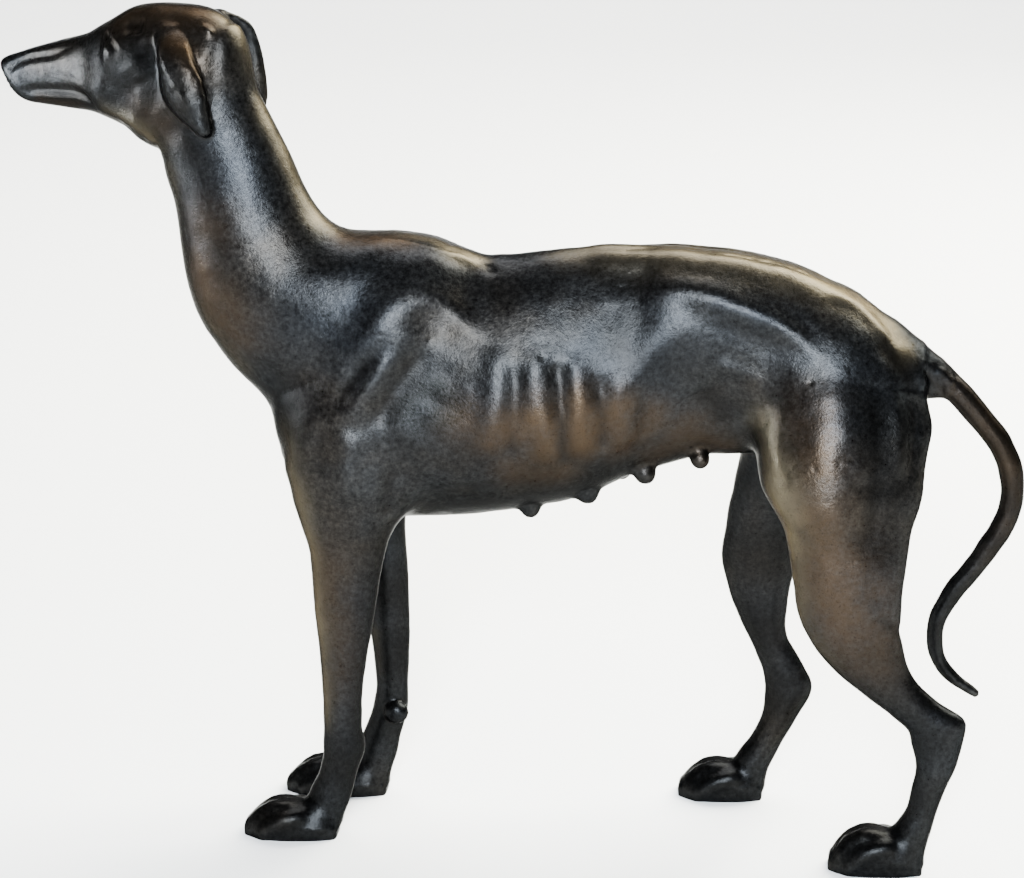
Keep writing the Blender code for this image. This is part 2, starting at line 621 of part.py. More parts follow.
# Relief drawn on the sides of the body: width, height, points (x, z)
BODY_LINES = [
    ((4.6, 5.6, 5.6, 4.6, 3.4), (1.0, 1.9, 1.7, 1.5, .7), [(-49, 166.9), (-45.3, 174.4), (-41.8, 180.5), (-37.4, 186.6), (-31.2, 190.2), (-25.1, 191.4),
                                   (-19.5, 189), (-14.6, 184.8), (-9.5, 181.2), (-4, 177.4)]),                        # arch over the shoulder blade
    (1.9, (-.6, -1.5, -1.0), [(-33.5, 183.5), (-38.4, 177.5), (-43.4, 170.4), (-49.1, 161.5), (-52.3, 154.9)]),
    ((4.8, 4.6, 3.8), (.8, 1.7, 1.1), [(-25.5, 187), (-29.7, 182.6), (-33.9, 176.6), (-38.1, 170), (-42.9, 163.2), (-47.8, 155.7), (-52.7, 147.2)]),  # its spine
    (3.0, 0.6, [(-49, 175), (-56, 167), (-61, 159)]),
    (4.6, (-.7, -1.5, -.8), [(-19.5, 179), (-25, 172), (-29.5, 165), (-34.5, 157), (-40.5, 148)]),                      # hollow behind the blade
    (13.0, (-.6, -1.3, -.5), [(-11, 175), (-16, 166), (-21, 157), (-27, 147)]),
    (2.2, -1.2, [(-59.1, 152.4), (-60, 142), (-59.4, 132.1)]),
    (5.0, 1.3, [(-49.1, 150.4), (-50.9, 136.8), (-51.7, 121.9)]),
    (2.8, -1.6, [(-36.5, 138), (-37.8, 126), (-38.8, 117)]),
    (3.7, 1.3, [(-2.5, 181), (-2.2, 165), (-3.5, 154), (-6, 138)]),                    # ribs and the grooves between
    (2.8, -1.0, [(3.4, 179), (4.2, 164.6), (3.2, 151), (1, 135)]),
    (3.7, 1.35, [(10.4, 180), (10.6, 168), (12.1, 156), (13.8, 144.6), (12.9, 134)]),
    (2.8, -1.1, [(16.2, 178), (17.9, 168), (19.1, 154), (19.2, 143), (18.5, 131)]),
    (3.5, 1.25, [(21.6, 179), (23.3, 168), (24.9, 157.4), (24.7, 147.5), (23.6, 138)]),
    (2.8, -.9, [(30.2, 171), (31.5, 161), (31.8, 150), (30.7, 140)]),
    (3.5, 0.9, [(36.5, 171), (38.5, 160), (39, 150), (37.8, 141)]),
    (2.6, -0.5, [(43.6, 166), (45.2, 157), (44.5, 145)]),
    ((6.0, 5.0, 3.4, 2.4), (1.0, 1.9, 1.6, 1.1), [(37.4, 185.8), (42.3, 191), (47.2, 194.3), (52.9, 195.8), (60.2, 195.4), (66.7, 194), (74.8, 191.4), (81.9, 188.6), (87.7, 186), (92.9, 183), (96.8, 179.9), (101, 175.6)]),  # hip bone
    (5.5, -.7, [(52.5, 188.5), (60.4, 188.5), (68.5, 186.5), (76.6, 183.4), (84.7, 179.4), (91.8, 174.5)]),
    (2.6, 0.8, [(66, 172), (76, 170), (83, 166)]),
    (2.0, 0.6, [(67, 153), (73, 154), (79, 155)]),
    (8.0, -1.2, [(62, 165), (68, 158), (74, 150)]),
    (2.6, 0.9, [(101, 195), (108, 192.2), (114.5, 188), (120.2, 182.6), (125, 176), (128, 170)]),   # upper edge of the croup
    (4.2, -1.2, [(118, 182), (124, 176), (129.5, 169), (131, 160)]),
    (1.6, 0.6, [(-42.5, 208.1), (-32.7, 207.0), (-22.8, 204.6), (-14.9, 202), (-9.5, 199.6)]),      # crest of the withers
    (1.5, -0.9, [(-10, 203.4), (-7, 200.5), (-5.5, 197.5)]),
]

# Relief on the near hind leg; the far one carries it moved forward
THIGH_LINES = [
    (3.2, .8, [(91, 164.4), (88.7, 156.5), (87, 149.2), (89.4, 143), (92.3, 134.6), (94, 120.7), (95.3, 110.3)]),
    (2.8, -0.5, [(93.5, 172), (93.6, 158), (93.5, 149), (95.5, 140), (97.5, 128)]),
    (7.0, 1.4, [(104.5, 175), (105.6, 161.4), (105.8, 146.3), (105.5, 126.7), (104.5, 110)]),
    (4.6, -1.3, [(117.2, 174), (119, 157.9), (119.8, 142.7), (118.9, 126.7), (117.2, 113)]),
    (2.4, 0.8, [(125, 168), (127, 154.9), (127.5, 139)]),
    (1.8, -0.8, [(130.4, 165), (131.7, 150.8), (131, 135.4)]),
    (2.0, -0.7, [(121, 104), (126, 92), (134, 77), (144, 62)]),
]

# Relief on the head, in its own plane
HEAD_LINES = [
    (1.0, (-1.3, -1.4, -1.0), [(-176, 254.4), (-174, 255.8), (-171.4, 257.9), (-168.2, 259.4), (-163.1, 260.9), (-155.4, 262.5), (-150.5, 264.5), (-144, 267.4)]),
    (1.3, .5, [(-168.5, 261.2), (-160, 263.2), (-151, 265.8)]),
    (1.0, -1.2, [(-171.5, 248.4), (-166, 249.5), (-161.5, 250.3), (-152.6, 251), (-147.8, 251.3), (-142.3, 250.5), (-139.2, 249.1), (-136.5, 247.6)]),
    (.9, .6, [(-160, 248.9), (-150, 249.4), (-142.5, 248.6), (-138, 246.8)]),
    (.9, -.7, [(-156.8, 247.5), (-148.8, 248), (-142.8, 247.4), (-139, 246.2)]),
    (1.2, 1.1, [(-129.1, 274.0), (-126.9, 271.5), (-124.6, 269.2), (-121.8, 268.2)]),   # eyelid
    (1.2, -1.2, [(-131.2, 272.6), (-129, 270.3), (-126.6, 267.9), (-124.6, 266.8)]),
    (1.9, .6, [(-130.6, 268.6), (-128.2, 266.6), (-126.4, 265.2)]),                   # eye
    (3.0, -1.6, [(-124.7, 274.6), (-121.2, 275), (-116.6, 275.6)]),                    # hollow over the eye
    (1.3, .8, [(-122.2, 270.9), (-119.1, 271.2), (-116, 272), (-112.4, 273.8)]),
    (5.5, .6, [(-119, 265), (-115, 258)]),
    (2.4, .8, [(-137.5, 247.5), (-129.5, 245.8), (-122.2, 243.4), (-116.5, 239.5)]),
]


def side_line(F, points, side, dx=0.0):
    P = [F.drop((x + dx, 0, z), (0, side, 0)) for x, z in points]
    return [p for p in P if p is not None]


def head_line(F, points, side):
    way = np.array(head(0, side, 0)) - np.array(head(0, 0, 0))
    P = [F.drop(head(x, 0, z), way) for x, z in points]
    return [p for p in P if p is not None]


def sculpture():
    F = Field()
    across = np.repeat(np.array([[0.0, 1.0, 0.0]]), len(SPINE), 0)
    for i, t in enumerate(TWIST):
        across[i] = (math.sin(math.radians(t)), math.cos(math.radians(t)), 0)
    F.add(Loft(SPINE, step=3.0, caps=(.3, .3), across=across))
    hd = [(head(x + n, 0, a), head(x - n, 0, b), w, dict(p=e, q=e, wide=.45)) for x, a, b, w, e, n in HEAD]
    lateral = np.array(head(0, 1, 0)) - np.array(head(0, 0, 0))
    F.add(Loft(hd, step=2.5, caps=(.15, .5), across=tuple(lateral)), 5)
    for side in (-1, 1):
        F.add(Egg((-39, side * 15.5, 174), (31, 13, 8.5), (-.5, side * .2, -.84), (.86, 0, -.5)), 8)    # shoulder blade
        F.add(Egg((-61, side * 13, 147), (14, 15, 10.5), (0.4, 0, -.9), (.9, 0, .4)), 8)                # point of the shoulder
        F.add(Egg((-51, side * 18.5, 137), (22, 15.5, 9), (.45, 0, -.89), (.89, 0, .45)), 8)            # upper arm
        F.add(Egg((102.5, side * 13.2, 155), (31, 20, 12.5), (-.12, -side * .30, 1), (1, 0, .2)), 12)              # haunch
    for name, leg in LEGS.items():
        F.add(Loft(leg["ribs"], step=2.5, caps=(.9, .2)), 9 if "fore" in name else 13)
    for side in (-1, 1):
        F.add(Rod([(x, side * w, z - 4.2) for x, w, z in LOIN], [4.4] * len(LOIN)), 4)                  # flat top of the loin
    for name, leg in LEGS.items():
        for s, k in paw(*leg["paw"]):
            F.add(s, k)
    F.add(Egg((-41.6, 11.4, 33.2), (3.7, 2.9, 3.8)), 1.0)
    F.add(Rod([(x, 0, z) for x, z, r in TAIL], [r for *_, r in TAIL]), 3)
    F.add(Egg((136, 0, 165.5), (8.5, 5.6, 6.5), (.75, 0, -.66), (0, 1, 0)), 3)
    body = [(Stroke(side_line(F, pts, s), w, h)) for w, h, pts in BODY_LINES for s in (-1, 1)]
    body += [Stroke(side_line(F, pts, -1), w, h) for w, h, pts in THIGH_LINES]
    body += [Stroke(side_line(F, [(x - 14 * max(0, 1 - max(z - 100, 0) / 90) - 4, z) for x, z in pts], 1), w, h) for w, h, pts in THIGH_LINES[:-1]]
    body += [Stroke(head_line(F, pts, s), w, h) for w, h, pts in HEAD_LINES for s in (-1, 1)]
    for s in body:
        F.draw(s)
    for side, table in ((-1, NEAR_EAR), (1, FAR_EAR)):
        F.add(Loft([(head(a[0], side * a[1], a[2]), head(b[0], side * b[1], b[2]), half, dict(p=1.6, q=1.7, wide=fold))
                    for a, b, half, fold in table], step=1.5, caps=(.5, .9), across=tuple(lateral * side)), 2.0)
    for x, s in TEATS:
        for side in (-1, 1):
            xx = x if side < 0 else x - 9
            z = float(np.interp(xx, [-12, 12, 35, 52, 68, 84], [113, 117.5, 126, 133, 137, 138]))
            F.add(Egg((xx, side * 7.5, z + .8), (4.0 * s, 3.6 * s, 4.0 * s)), 3.0)
    return F


LO, HI = (-184, -42, -5), (176, 46, 289)


def solid():
    for thing in list(bpy.data.objects):
        bpy.data.objects.remove(thing, do_unlink=True)
    F = sculpture()
    G, lo = grid_of(F, LO, HI, STEP)
    V, Q = surface_nets(G, lo, STEP)
    V = settle(V, G, lo, STEP)
    mesh = bpy.data.meshes.new("greyhound")
    mesh.from_pydata(((V + np.array(PLACE)) * 0.001).tolist(), [], Q.tolist())
    mesh.update()
    thing = bpy.data.objects.new("greyhound", mesh)
    bpy.context.scene.collection.objects.link(thing)
    # fewer faces where the form is plain
    thinner = thing.modifiers.new("thinner", "DECIMATE")
    thinner.decimate_type = "COLLAPSE"
    thinner.use_collapse_triangulate = True
    thinner.ratio = FACES / (2.0 * len(Q))
    bpy.context.view_layer.update()
    seen = thing.evaluated_get(bpy.context.evaluated_depsgraph_get())
    b = bmesh.new()
    b.from_mesh(seen.to_mesh())
    seen.to_mesh_clear()
    thing.modifiers.remove(thinner)
    # level soles
    cut = bmesh.ops.bisect_plane(b, geom=b.verts[:] + b.edges[:] + b.faces[:], dist=1e-7,
                                 plane_co=(0, 0, 0), plane_no=(0, 0, 1), clear_inner=True)
    rim = [e for e in cut["geom_cut"] if isinstance(e, bmesh.types.BMEdge)]
    bmesh.ops.holes_fill(b, edges=rim, sides=0)
    bmesh.ops.remove_doubles(b, verts=b.verts[:], dist=1e-5)
    bmesh.ops.dissolve_degenerate(b, dist=1e-6, edges=b.edges[:])
    bmesh.ops.triangulate(b, faces=b.faces[:])
    bmesh.ops.recalc_face_normals(b, faces=b.faces[:])
    b.to_mesh(mesh)
    b.free()
    mesh.update()
    bronze = bpy.data.materials.new("dark_bronze")
    bronze.use_nodes = True
    p = bronze.node_tree.nodes["Principled BSDF"]
    p.inputs["Base Color"].default_value = COLOUR
    p.inputs["Metallic"].default_value = 0.85
    p.inputs["Roughness"].default_value = 0.36
    mesh.materials.append(bronze)


solid()
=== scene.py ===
"""Looks of the cast greyhound: the carved skin over the CAD solid, its patina, the floor, the lights and the camera."""

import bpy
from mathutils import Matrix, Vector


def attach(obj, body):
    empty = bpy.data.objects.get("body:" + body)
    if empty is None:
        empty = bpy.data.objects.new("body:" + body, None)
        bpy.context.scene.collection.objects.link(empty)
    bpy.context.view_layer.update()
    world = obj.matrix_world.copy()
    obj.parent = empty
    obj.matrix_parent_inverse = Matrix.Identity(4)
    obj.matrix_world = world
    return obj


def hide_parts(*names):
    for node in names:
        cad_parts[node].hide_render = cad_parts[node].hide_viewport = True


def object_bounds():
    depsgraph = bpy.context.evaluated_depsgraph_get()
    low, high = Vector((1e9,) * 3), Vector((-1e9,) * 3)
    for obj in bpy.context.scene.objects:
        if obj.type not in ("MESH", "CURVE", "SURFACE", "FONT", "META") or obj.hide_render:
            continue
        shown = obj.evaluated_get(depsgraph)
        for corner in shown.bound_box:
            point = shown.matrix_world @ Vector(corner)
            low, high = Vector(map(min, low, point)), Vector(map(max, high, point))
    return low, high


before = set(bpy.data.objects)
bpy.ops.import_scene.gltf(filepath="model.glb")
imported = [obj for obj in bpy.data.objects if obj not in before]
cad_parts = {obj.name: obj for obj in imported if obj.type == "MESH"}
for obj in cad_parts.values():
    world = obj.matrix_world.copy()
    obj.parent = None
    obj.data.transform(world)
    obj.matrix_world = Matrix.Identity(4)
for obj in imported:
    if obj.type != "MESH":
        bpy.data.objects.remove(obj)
import math

import bmesh
import bpy
import numpy as np
from mathutils import Vector

PLACE = (3.3, -0.7, 0.0)          # mm; the same shift as the solid's
MOST_FACES = 188000
BIG = 60.0


# ---------------------------------------------------------------- curves
def spline(knots, values, at):
    """Monotone cubic through values at knots, read at `at`. No overshoot between stations."""
    x, y, q = (np.asarray(v, float) for v in (knots, values, at))
    y = y.reshape(len(x), -1)
    h = np.diff(x)[:, None]
    s = np.diff(y, axis=0) / h
    m = np.zeros_like(y)
    w1, w2 = 2 * h[1:] + h[:-1], h[1:] + 2 * h[:-1]
    same = s[:-1] * s[1:] > 0
    with np.errstate(divide="ignore", invalid="ignore"):
        inner = (w1 + w2) / (w1 / s[:-1] + w2 / s[1:])
    m[1:-1] = np.where(same, inner, 0.0)
    m[0], m[-1] = s[0], s[-1]
    i = np.clip(np.searchsorted(x, q) - 1, 0, len(x) - 2)
    t = ((q - x[i]) / h[i, 0])[:, None]
    a, b, c, d = y[i], y[i + 1], m[i] * h[i], m[i + 1] * h[i]
    return ((2 * t**3 - 3 * t**2 + 1) * a + (t**3 - 2 * t**2 + t) * c
            + (3 * t**2 - 2 * t**3) * b + (t**3 - t**2) * d)


def catmull(points, per=8):
    """Smooth curve through points, `per` samples a span."""
    p = np.asarray(points, float)
    if len(p) < 3:
        t = np.linspace(0, 1, per + 1)[:, None]
        return p[0] * (1 - t) + p[1] * t
    e = np.vstack([2 * p[0] - p[1], p, 2 * p[-1] - p[-2]])
    out = []
    for i in range(len(p) - 1):
        a, b, c, d = e[i:i + 4]
        t = np.linspace(0, 1, per, endpoint=False)[:, None]
        out.append(0.5 * (2 * b + (c - a) * t + (2 * a - 5 * b + 4 * c - d) * t**2
                          + (3 * b - a - 3 * c + d) * t**3))
    return np.vstack(out + [p[-1:]])


def unit(v):
    v = np.asarray(v, float)
    return v / np.maximum(np.linalg.norm(v, axis=-1, keepdims=True), 1e-12)


# ---------------------------------------------------------------- solids
class Loft:
    """A solid carried by ribs. A rib runs from its near edge A to its far edge B; `half` is its half width
    across, `wide` where along AB it is widest, p and q how square it is on the A and B sides."""

    def __init__(self, ribs, step=3.0, caps=(1.0, 1.0), across=(0, 1, 0)):
        A = np.array([r[0] for r in ribs], float)
        B = np.array([r[1] for r in ribs], float)
        half = np.array([r[2] for r in ribs], float)
        more = [r[3] if len(r) > 3 else {} for r in ribs]
        wide = np.array([m.get("wide", 0.5) for m in more])
        p = np.array([m.get("p", 2.0) for m in more])
        q = np.array([m.get("q", 2.0) for m in more])
        C = A + (B - A) * wide[:, None]
        size = np.linalg.norm(B - A, axis=1)
        run = np.concatenate([[0], np.cumsum(np.maximum(np.linalg.norm(np.diff(C, axis=0), axis=1), 1e-6))])
        n = max(2, int(math.ceil(run[-1] / step)) + 1)
        at = np.linspace(0, run[-1], n)
        table = np.column_stack([C, unit(B - A), half, size * wide, size * (1 - wide), p, q])
        d = spline(run, table, at)
        self.C, self.N = d[:, :3], unit(d[:, 3:6])
        L = np.array(across, float)
        if L.ndim == 1:
            L = np.repeat(L[None], n, 0)
        else:
            L = spline(run, L, at)
        L = L - self.N * np.sum(L * self.N, axis=1, keepdims=True)
        self.L = unit(L)
        self.T = np.cross(self.N, self.L)
        along = np.gradient(self.C, axis=0)
        flip = np.sign(np.sum(self.T * along, axis=1))
        flip[flip == 0] = 1
        self.T *= flip[:, None]
        self.half, self.rA, self.rB, self.p, self.q = d[:, 6], d[:, 7], d[:, 8], d[:, 9], d[:, 10]
        self.caps = caps
        self.k = 0
        r = np.maximum(np.maximum(self.rA, self.rB), self.half)[:, None]
        self.lo, self.hi = (self.C - r).min(0), (self.C + r).max(0)
        self.cT = np.sum(self.C * self.T, axis=1)
        self.r_end = (0.5 * (self.rA[0] + self.rB[0] + 2 * self.half[0]) / 2 * caps[0],
                      0.5 * (self.rA[-1] + self.rB[-1] + 2 * self.half[-1]) / 2 * caps[1])

    def section(self, r, N, L, half, rA, rB, p, q, a=None, ra=None):
        n, l = np.sum(r * N, axis=1), np.abs(np.sum(r * L, axis=1))
        rn = np.where(n < 0, rA, rB)
        e = np.where(n < 0, p, q)
        u, v = np.abs(n) / rn, l / half
        if np.all(np.abs(e - 2.0) < 1e-6):
            k2 = u * u + v * v
            if a is not None:
                k2 = k2 + (a / ra) ** 2
            k = np.sqrt(np.maximum(k2, 1e-12))
            g = (u / rn) ** 2 + (v / half) ** 2
            if a is not None:
                g = g + (a / ra / ra) ** 2
            g = np.sqrt(np.maximum(g, 1e-12)) / k
        else:
            u, v = np.maximum(u, 1e-6), np.maximum(v, 1e-6)
            ue, ve = u ** e, v ** e
            S = ue + ve
            if a is not None:
                w = np.maximum(np.abs(a) / ra, 1e-6)
                we = w ** e
                S = S + we
            k = S ** (1 / e)
            c = k / S
            g = (ue / u / rn * c) ** 2 + (ve / v / half * c) ** 2
            if a is not None:
                g = g + (we / w / ra * c) ** 2
            g = np.sqrt(np.maximum(g, 1e-12))
        return (k - 1) / np.maximum(g, 1e-6)

    def __call__(self, P):
        mid = 0.5 * (P.min(0) + P.max(0))
        R = np.linalg.norm(P - mid, axis=1).max() + 1e-6
        s0 = self.T @ mid - self.cT
        f = np.full(len(P), BIG)
        m = len(self.C)
        for i in range(m - 1):
            if min(s0[i], s0[i + 1]) > R or max(s0[i], s0[i + 1]) < -R:
                continue
            if np.linalg.norm(mid - self.C[i]) > R + 45 + max(self.rA[i], self.rB[i], self.half[i]):
                continue
            a, b = P @ self.T[i] - self.cT[i], P @ self.T[i + 1] - self.cT[i + 1]
            on = (a >= 0) & (b < 0)
            if not on.any():
                continue
            a, b, X = a[on], b[on], P[on]
            t = a / (a - b)
            T = t[:, None]
            mix = lambda v: v[i] + (v[i + 1] - v[i]) * (T if v.ndim == 2 else t)
            d = self.section(X - mix(self.C), unit(mix(self.N)), unit(mix(self.L)), mix(self.half),
                             mix(self.rA), mix(self.rB), mix(self.p), mix(self.q))
            f[on] = np.minimum(f[on], d)
        for i, sign, cap in ((0, -1, self.r_end[0]), (m - 1, 1, self.r_end[1])):
            a = (P @ self.T[i] - self.cT[i]) * sign
            on = (a >= 0) & (a < cap + 25)
            if not on.any():
                continue
            X = P[on] - self.C[i]
            d = self.section(X, self.N[i], self.L[i], self.half[i], self.rA[i], self.rB[i],
                             self.p[i], self.q[i], a[on], cap)
            f[on] = np.minimum(f[on], d)
        return f


class Egg:
    """An ellipsoid: centre, three half sizes, and the directions of the first two."""

    def __init__(self, c, r, u=(1, 0, 0), v=(0, 1, 0)):
        self.c, self.r = np.array(c, float), np.array(r, float)
        u = unit(u)
        v = np.array(v, float)
        v = unit(v - u * (u @ v))
        self.M = np.array([u, v, np.cross(u, v)])
        reach = self.r.max()
        self.lo, self.hi = self.c - reach, self.c + reach

    def __call__(self, P):
        q = ((P - self.c) @ self.M.T) / self.r
        k = np.sqrt(np.maximum((q * q).sum(1), 1e-12))
        g = np.sqrt(np.maximum(((q / self.r) ** 2).sum(1), 1e-12))
        return k * (k - 1) / g


class Rod:
    """A round rod along points, with a radius at each."""

    def __init__(self, points, radii, per=6):
        raw = np.asarray(points, float)
        self.c = catmull(raw, per) if len(raw) > 2 else raw
        run = np.concatenate([[0], np.cumsum(np.linalg.norm(np.diff(raw, axis=0), axis=1))])
        t = np.concatenate([[0], np.cumsum(np.linalg.norm(np.diff(self.c, axis=0), axis=1))])
        t = t / t[-1] * run[-1]
        self.r = spline(run, np.asarray(radii, float), t)[:, 0] if len(raw) > 2 else np.asarray(radii, float)
        m = self.r.max()
        self.lo, self.hi = self.c.min(0) - m, self.c.max(0) + m

    def __call__(self, P):
        mid = 0.5 * (P.min(0) + P.max(0))
        R = np.linalg.norm(P - mid, axis=1).max()
        a, b = self.c[:-1], self.c[1:]
        ab = b - a
        t = np.clip(((mid - a) * ab).sum(1) / (ab * ab).sum(1), 0, 1)
        d0 = np.linalg.norm(mid - a - ab * t[:, None], axis=1)
        f = np.full(len(P), BIG)
        for i in np.where(d0 <= d0.min() + 2 * R + self.r.max())[0]:
            t = np.clip(((P - a[i]) @ ab[i]) / (ab[i] @ ab[i]), 0, 1)
            d = np.linalg.norm(P - a[i] - t[:, None] * ab[i], axis=1) - (self.r[i] + (self.r[i + 1] - self.r[i]) * t)
            f = np.minimum(f, d)
        return f


class Stroke:
    """A line drawn on the surface. It lifts (height > 0) or sinks the surface beside it, fading over `width`."""

    def __init__(self, points, width, height, per=6, fade=0.22):
        raw = np.asarray(points, float)
        self.c = catmull(raw, per) if len(raw) > 1 else np.vstack([raw, raw + 1e-3])
        n = len(self.c)
        t = np.linspace(0, 1, n)
        ends = np.clip(np.minimum(t, 1 - t) / max(fade, 1e-6), 0, 1)
        ends = ends * ends * (3 - 2 * ends) if fade > 0 else np.ones(n)
        w = np.interp(t, np.linspace(0, 1, len(np.atleast_1d(width))), np.atleast_1d(width))
        h = np.interp(t, np.linspace(0, 1, len(np.atleast_1d(height))), np.atleast_1d(height))
        self.w, self.h = w, h * ends
        m = 2.4 * w.max()
        self.lo, self.hi = self.c.min(0) - m, self.c.max(0) + m

    def __call__(self, P):
        a, b = self.c[:-1], self.c[1:]
        ab = b - a
        mid = 0.5 * (P.min(0) + P.max(0))
        R = np.linalg.norm(P - mid, axis=1).max()
        t = np.clip(((mid - a) * ab).sum(1) / np.maximum((ab * ab).sum(1), 1e-9), 0, 1)
        close = np.where(np.linalg.norm(mid - a - ab * t[:, None], axis=1) < R + 2.4 * self.w.max())[0]
        best = np.full(len(P), 6.0)
        lift = np.zeros(len(P))
        for i in close:
            t = np.clip(((P - a[i]) @ ab[i]) / max(ab[i] @ ab[i], 1e-9), 0, 1)
            w = self.w[i] + (self.w[i + 1] - self.w[i]) * t
            d2 = ((P - a[i] - t[:, None] * ab[i]) ** 2).sum(1) / (w * w)
            better = d2 < best
            best = np.where(better, d2, best)
            lift = np.where(better, self.h[i] + (self.h[i + 1] - self.h[i]) * t, lift)
        return lift * np.exp(-best)


# ---------------------------------------------------------------- the field
class Field:
    def __init__(self):
        self.ops = []

    def add(self, solid, k=0.0):
        self.ops.append(("add", solid, k))

    def cut(self, solid, k=0.0):
        self.ops.append(("cut", solid, k))

    def draw(self, stroke):
        self.ops.append(("draw", stroke, 0.0))

    def near(self, lo, hi, margin=6.0):
        out = []
        for op in self.ops:
            m = margin + op[2] if op[0] != "draw" else 0.0
            if (op[1].lo - m <= hi).all() and (op[1].hi + m >= lo).all():
                out.append(op)
        return out

    def at(self, P, ops=None, margin=6.0):
        if ops is None:
            ops = self.near(P.min(0), P.max(0), margin)
        f = np.full(len(P), BIG)
        for kind, solid, k in ops:
            if kind == "draw":
                f = f - solid(P)
                continue
            d = solid(P)
            if kind == "add":
                if k > 0:
                    h = np.maximum(k - np.abs(f - d), 0) / k
                    f = np.minimum(f, d) - h * h * k * 0.25
                else:
                    f = np.minimum(f, d)
            else:
                d = -d
                if k > 0:
                    h = np.maximum(k - np.abs(f - d), 0) / k
                    f = np.maximum(f, d) + h * h * k * 0.25
                else:
                    f = np.maximum(f, d)
        return f

    def drop(self, start, way, reach=60.0):
        """The outermost surface point over `start`, seen from `way`."""
        start, way = np.asarray(start, float), unit(way)
        t = np.linspace(reach, 0, 241)
        P = start + t[:, None] * way
        f = np.concatenate([self.at(P[i:i + 40]) for i in range(0, len(t), 40)])
        inside = np.where(f < 0)[0]
        if len(inside) == 0:
            return None
        i = max(inside[0], 1)
        s = f[i - 1] / (f[i - 1] - f[i])
        return start + (t[i - 1] + (t[i] - t[i - 1]) * s) * way


def grid_of(field, lo, hi, h, block=14, slack=2.2):
    """The field on a grid of step h, worked out in full only in blocks near the surface."""
    lo = np.asarray(lo, float)
    n = np.ceil((np.asarray(hi, float) - lo) / h / block).astype(int)
    size = n * block + 1
    F = np.full(size, BIG, np.float32)
    r = 0.5 * block * h
    half = r * math.sqrt(3)
    offs = np.stack(np.meshgrid(*[np.arange(block + 1)] * 3, indexing="ij"), -1).reshape(-1, 3) * h

    for i in range(n[0]):
        for j in range(n[1]):
            for k in range(n[2]):
                base = lo + np.array([i, j, k]) * block * h
                ops = field.near(base, base + 2 * r)
                if not any(o[0] == "add" for o in ops):
                    continue
                c = base + r
                test = np.array([c, c + (r * .5, 0, 0), c - (r * .5, 0, 0), c + (0, r * .5, 0), c - (0, r * .5, 0), c + (0, 0, r * .5), c - (0, 0, r * .5)])
                v = field.at(test, ops)
                s = (slice(i * block, (i + 1) * block + 1), slice(j * block, (j + 1) * block + 1), slice(k * block, (k + 1) * block + 1))
                if v.min() > half * slack + 1:
                    continue
                if v.max() < -(half * 1.3 + 1):
                    F[s] = -BIG
                    continue
                F[s] = field.at(base + offs, ops).reshape([block + 1] * 3)

    return F, lo


def untangle(G):
    """Fills the pinched places of the grid, where the surface would touch itself along an edge."""
    for _ in range(12):
        S = G < 0
        found = 0
        for a, b in ((0, 1), (0, 2), (1, 2)):
            corner = []
            for i, j in ((0, 0), (1, 1), (0, 1), (1, 0)):
                k = [slice(None)] * 3
                k[a], k[b] = slice(i, G.shape[a] - 1 + i), slice(j, G.shape[b] - 1 + j)
                corner.append(tuple(k))
            A, B, C, D = corner
            pinch = (S[A] == S[B]) & (S[C] == S[D]) & (S[A] != S[C])
            if not pinch.any():
                continue
            found += 1
            for one, two in ((A, B), (C, D)):
                open_ = pinch & ~S[one]
                first = np.abs(G[one]) <= np.abs(G[two])
                G[one][open_ & first] = -.02
                G[two][open_ & ~first] = -.02
        if not found:
            break


def surface_nets(F, lo, h):
    """Vertices and quads of the surface F = 0, negative inside."""
    untangle(F)
    S = F < 0
    nx, ny, nz = F.shape
    c = np.zeros((nx - 1, ny - 1, nz - 1), np.uint8)
    for dx in (0, 1):
        for dy in (0, 1):
            for dz in (0, 1):
                c += S[dx:nx - 1 + dx, dy:ny - 1 + dy, dz:nz - 1 + dz]
    active = (c > 0) & (c < 8)
    cells = np.argwhere(active)
    number = np.full(active.shape, -1, np.int32)
    number[active] = np.arange(len(cells))
    corners = np.array([(dx, dy, dz) for dx in (0, 1) for dy in (0, 1) for dz in (0, 1)])
    val = np.stack([F[cells[:, 0] + a, cells[:, 1] + b, cells[:, 2] + d] for a, b, d in corners], 1).astype(float)
    val = np.clip(val, -4 * h, 4 * h)
    edges = [(a, b) for a in range(8) for b in range(a + 1, 8) if np.abs(corners[a] - corners[b]).sum() == 1]
    tot = np.zeros((len(cells), 3))
    cnt = np.zeros(len(cells))
    for a, b in edges:
        va, vb = val[:, a], val[:, b]
        on = (va < 0) != (vb < 0)
        t = np.where(on, va / np.where(on, va - vb, 1), 0)
        pt = corners[a] + (corners[b] - corners[a]) * t[:, None]
        tot += pt * on[:, None]
        cnt += on
    V = lo + (cells + tot / cnt[:, None]) * h
    quads = []
    for axis in range(3):
        a = [slice(1, -1)] * 3
        b = [slice(1, -1)] * 3
        a[axis], b[axis] = slice(0, -1), slice(1, None)
        A, B = S[tuple(a)], S[tuple(b)]
        for flip, on in ((False, A & ~B), (True, ~A & B)):
            idx = np.argwhere(on)
            idx = idx + np.array([1 if d != axis else 0 for d in range(3)])
            u, w = [(1, 2), (2, 0), (0, 1)][axis]
            q = []
            for du, dw in ((-1, -1), (0, -1), (0, 0), (-1, 0)):
                o = idx.copy()
                o[:, u] += du
                o[:, w] += dw
                q.append(number[o[:, 0], o[:, 1], o[:, 2]])
            q = np.stack(q, 1)
            quads.append(q[:, ::-1] if flip else q)
    return V, np.vstack(quads)


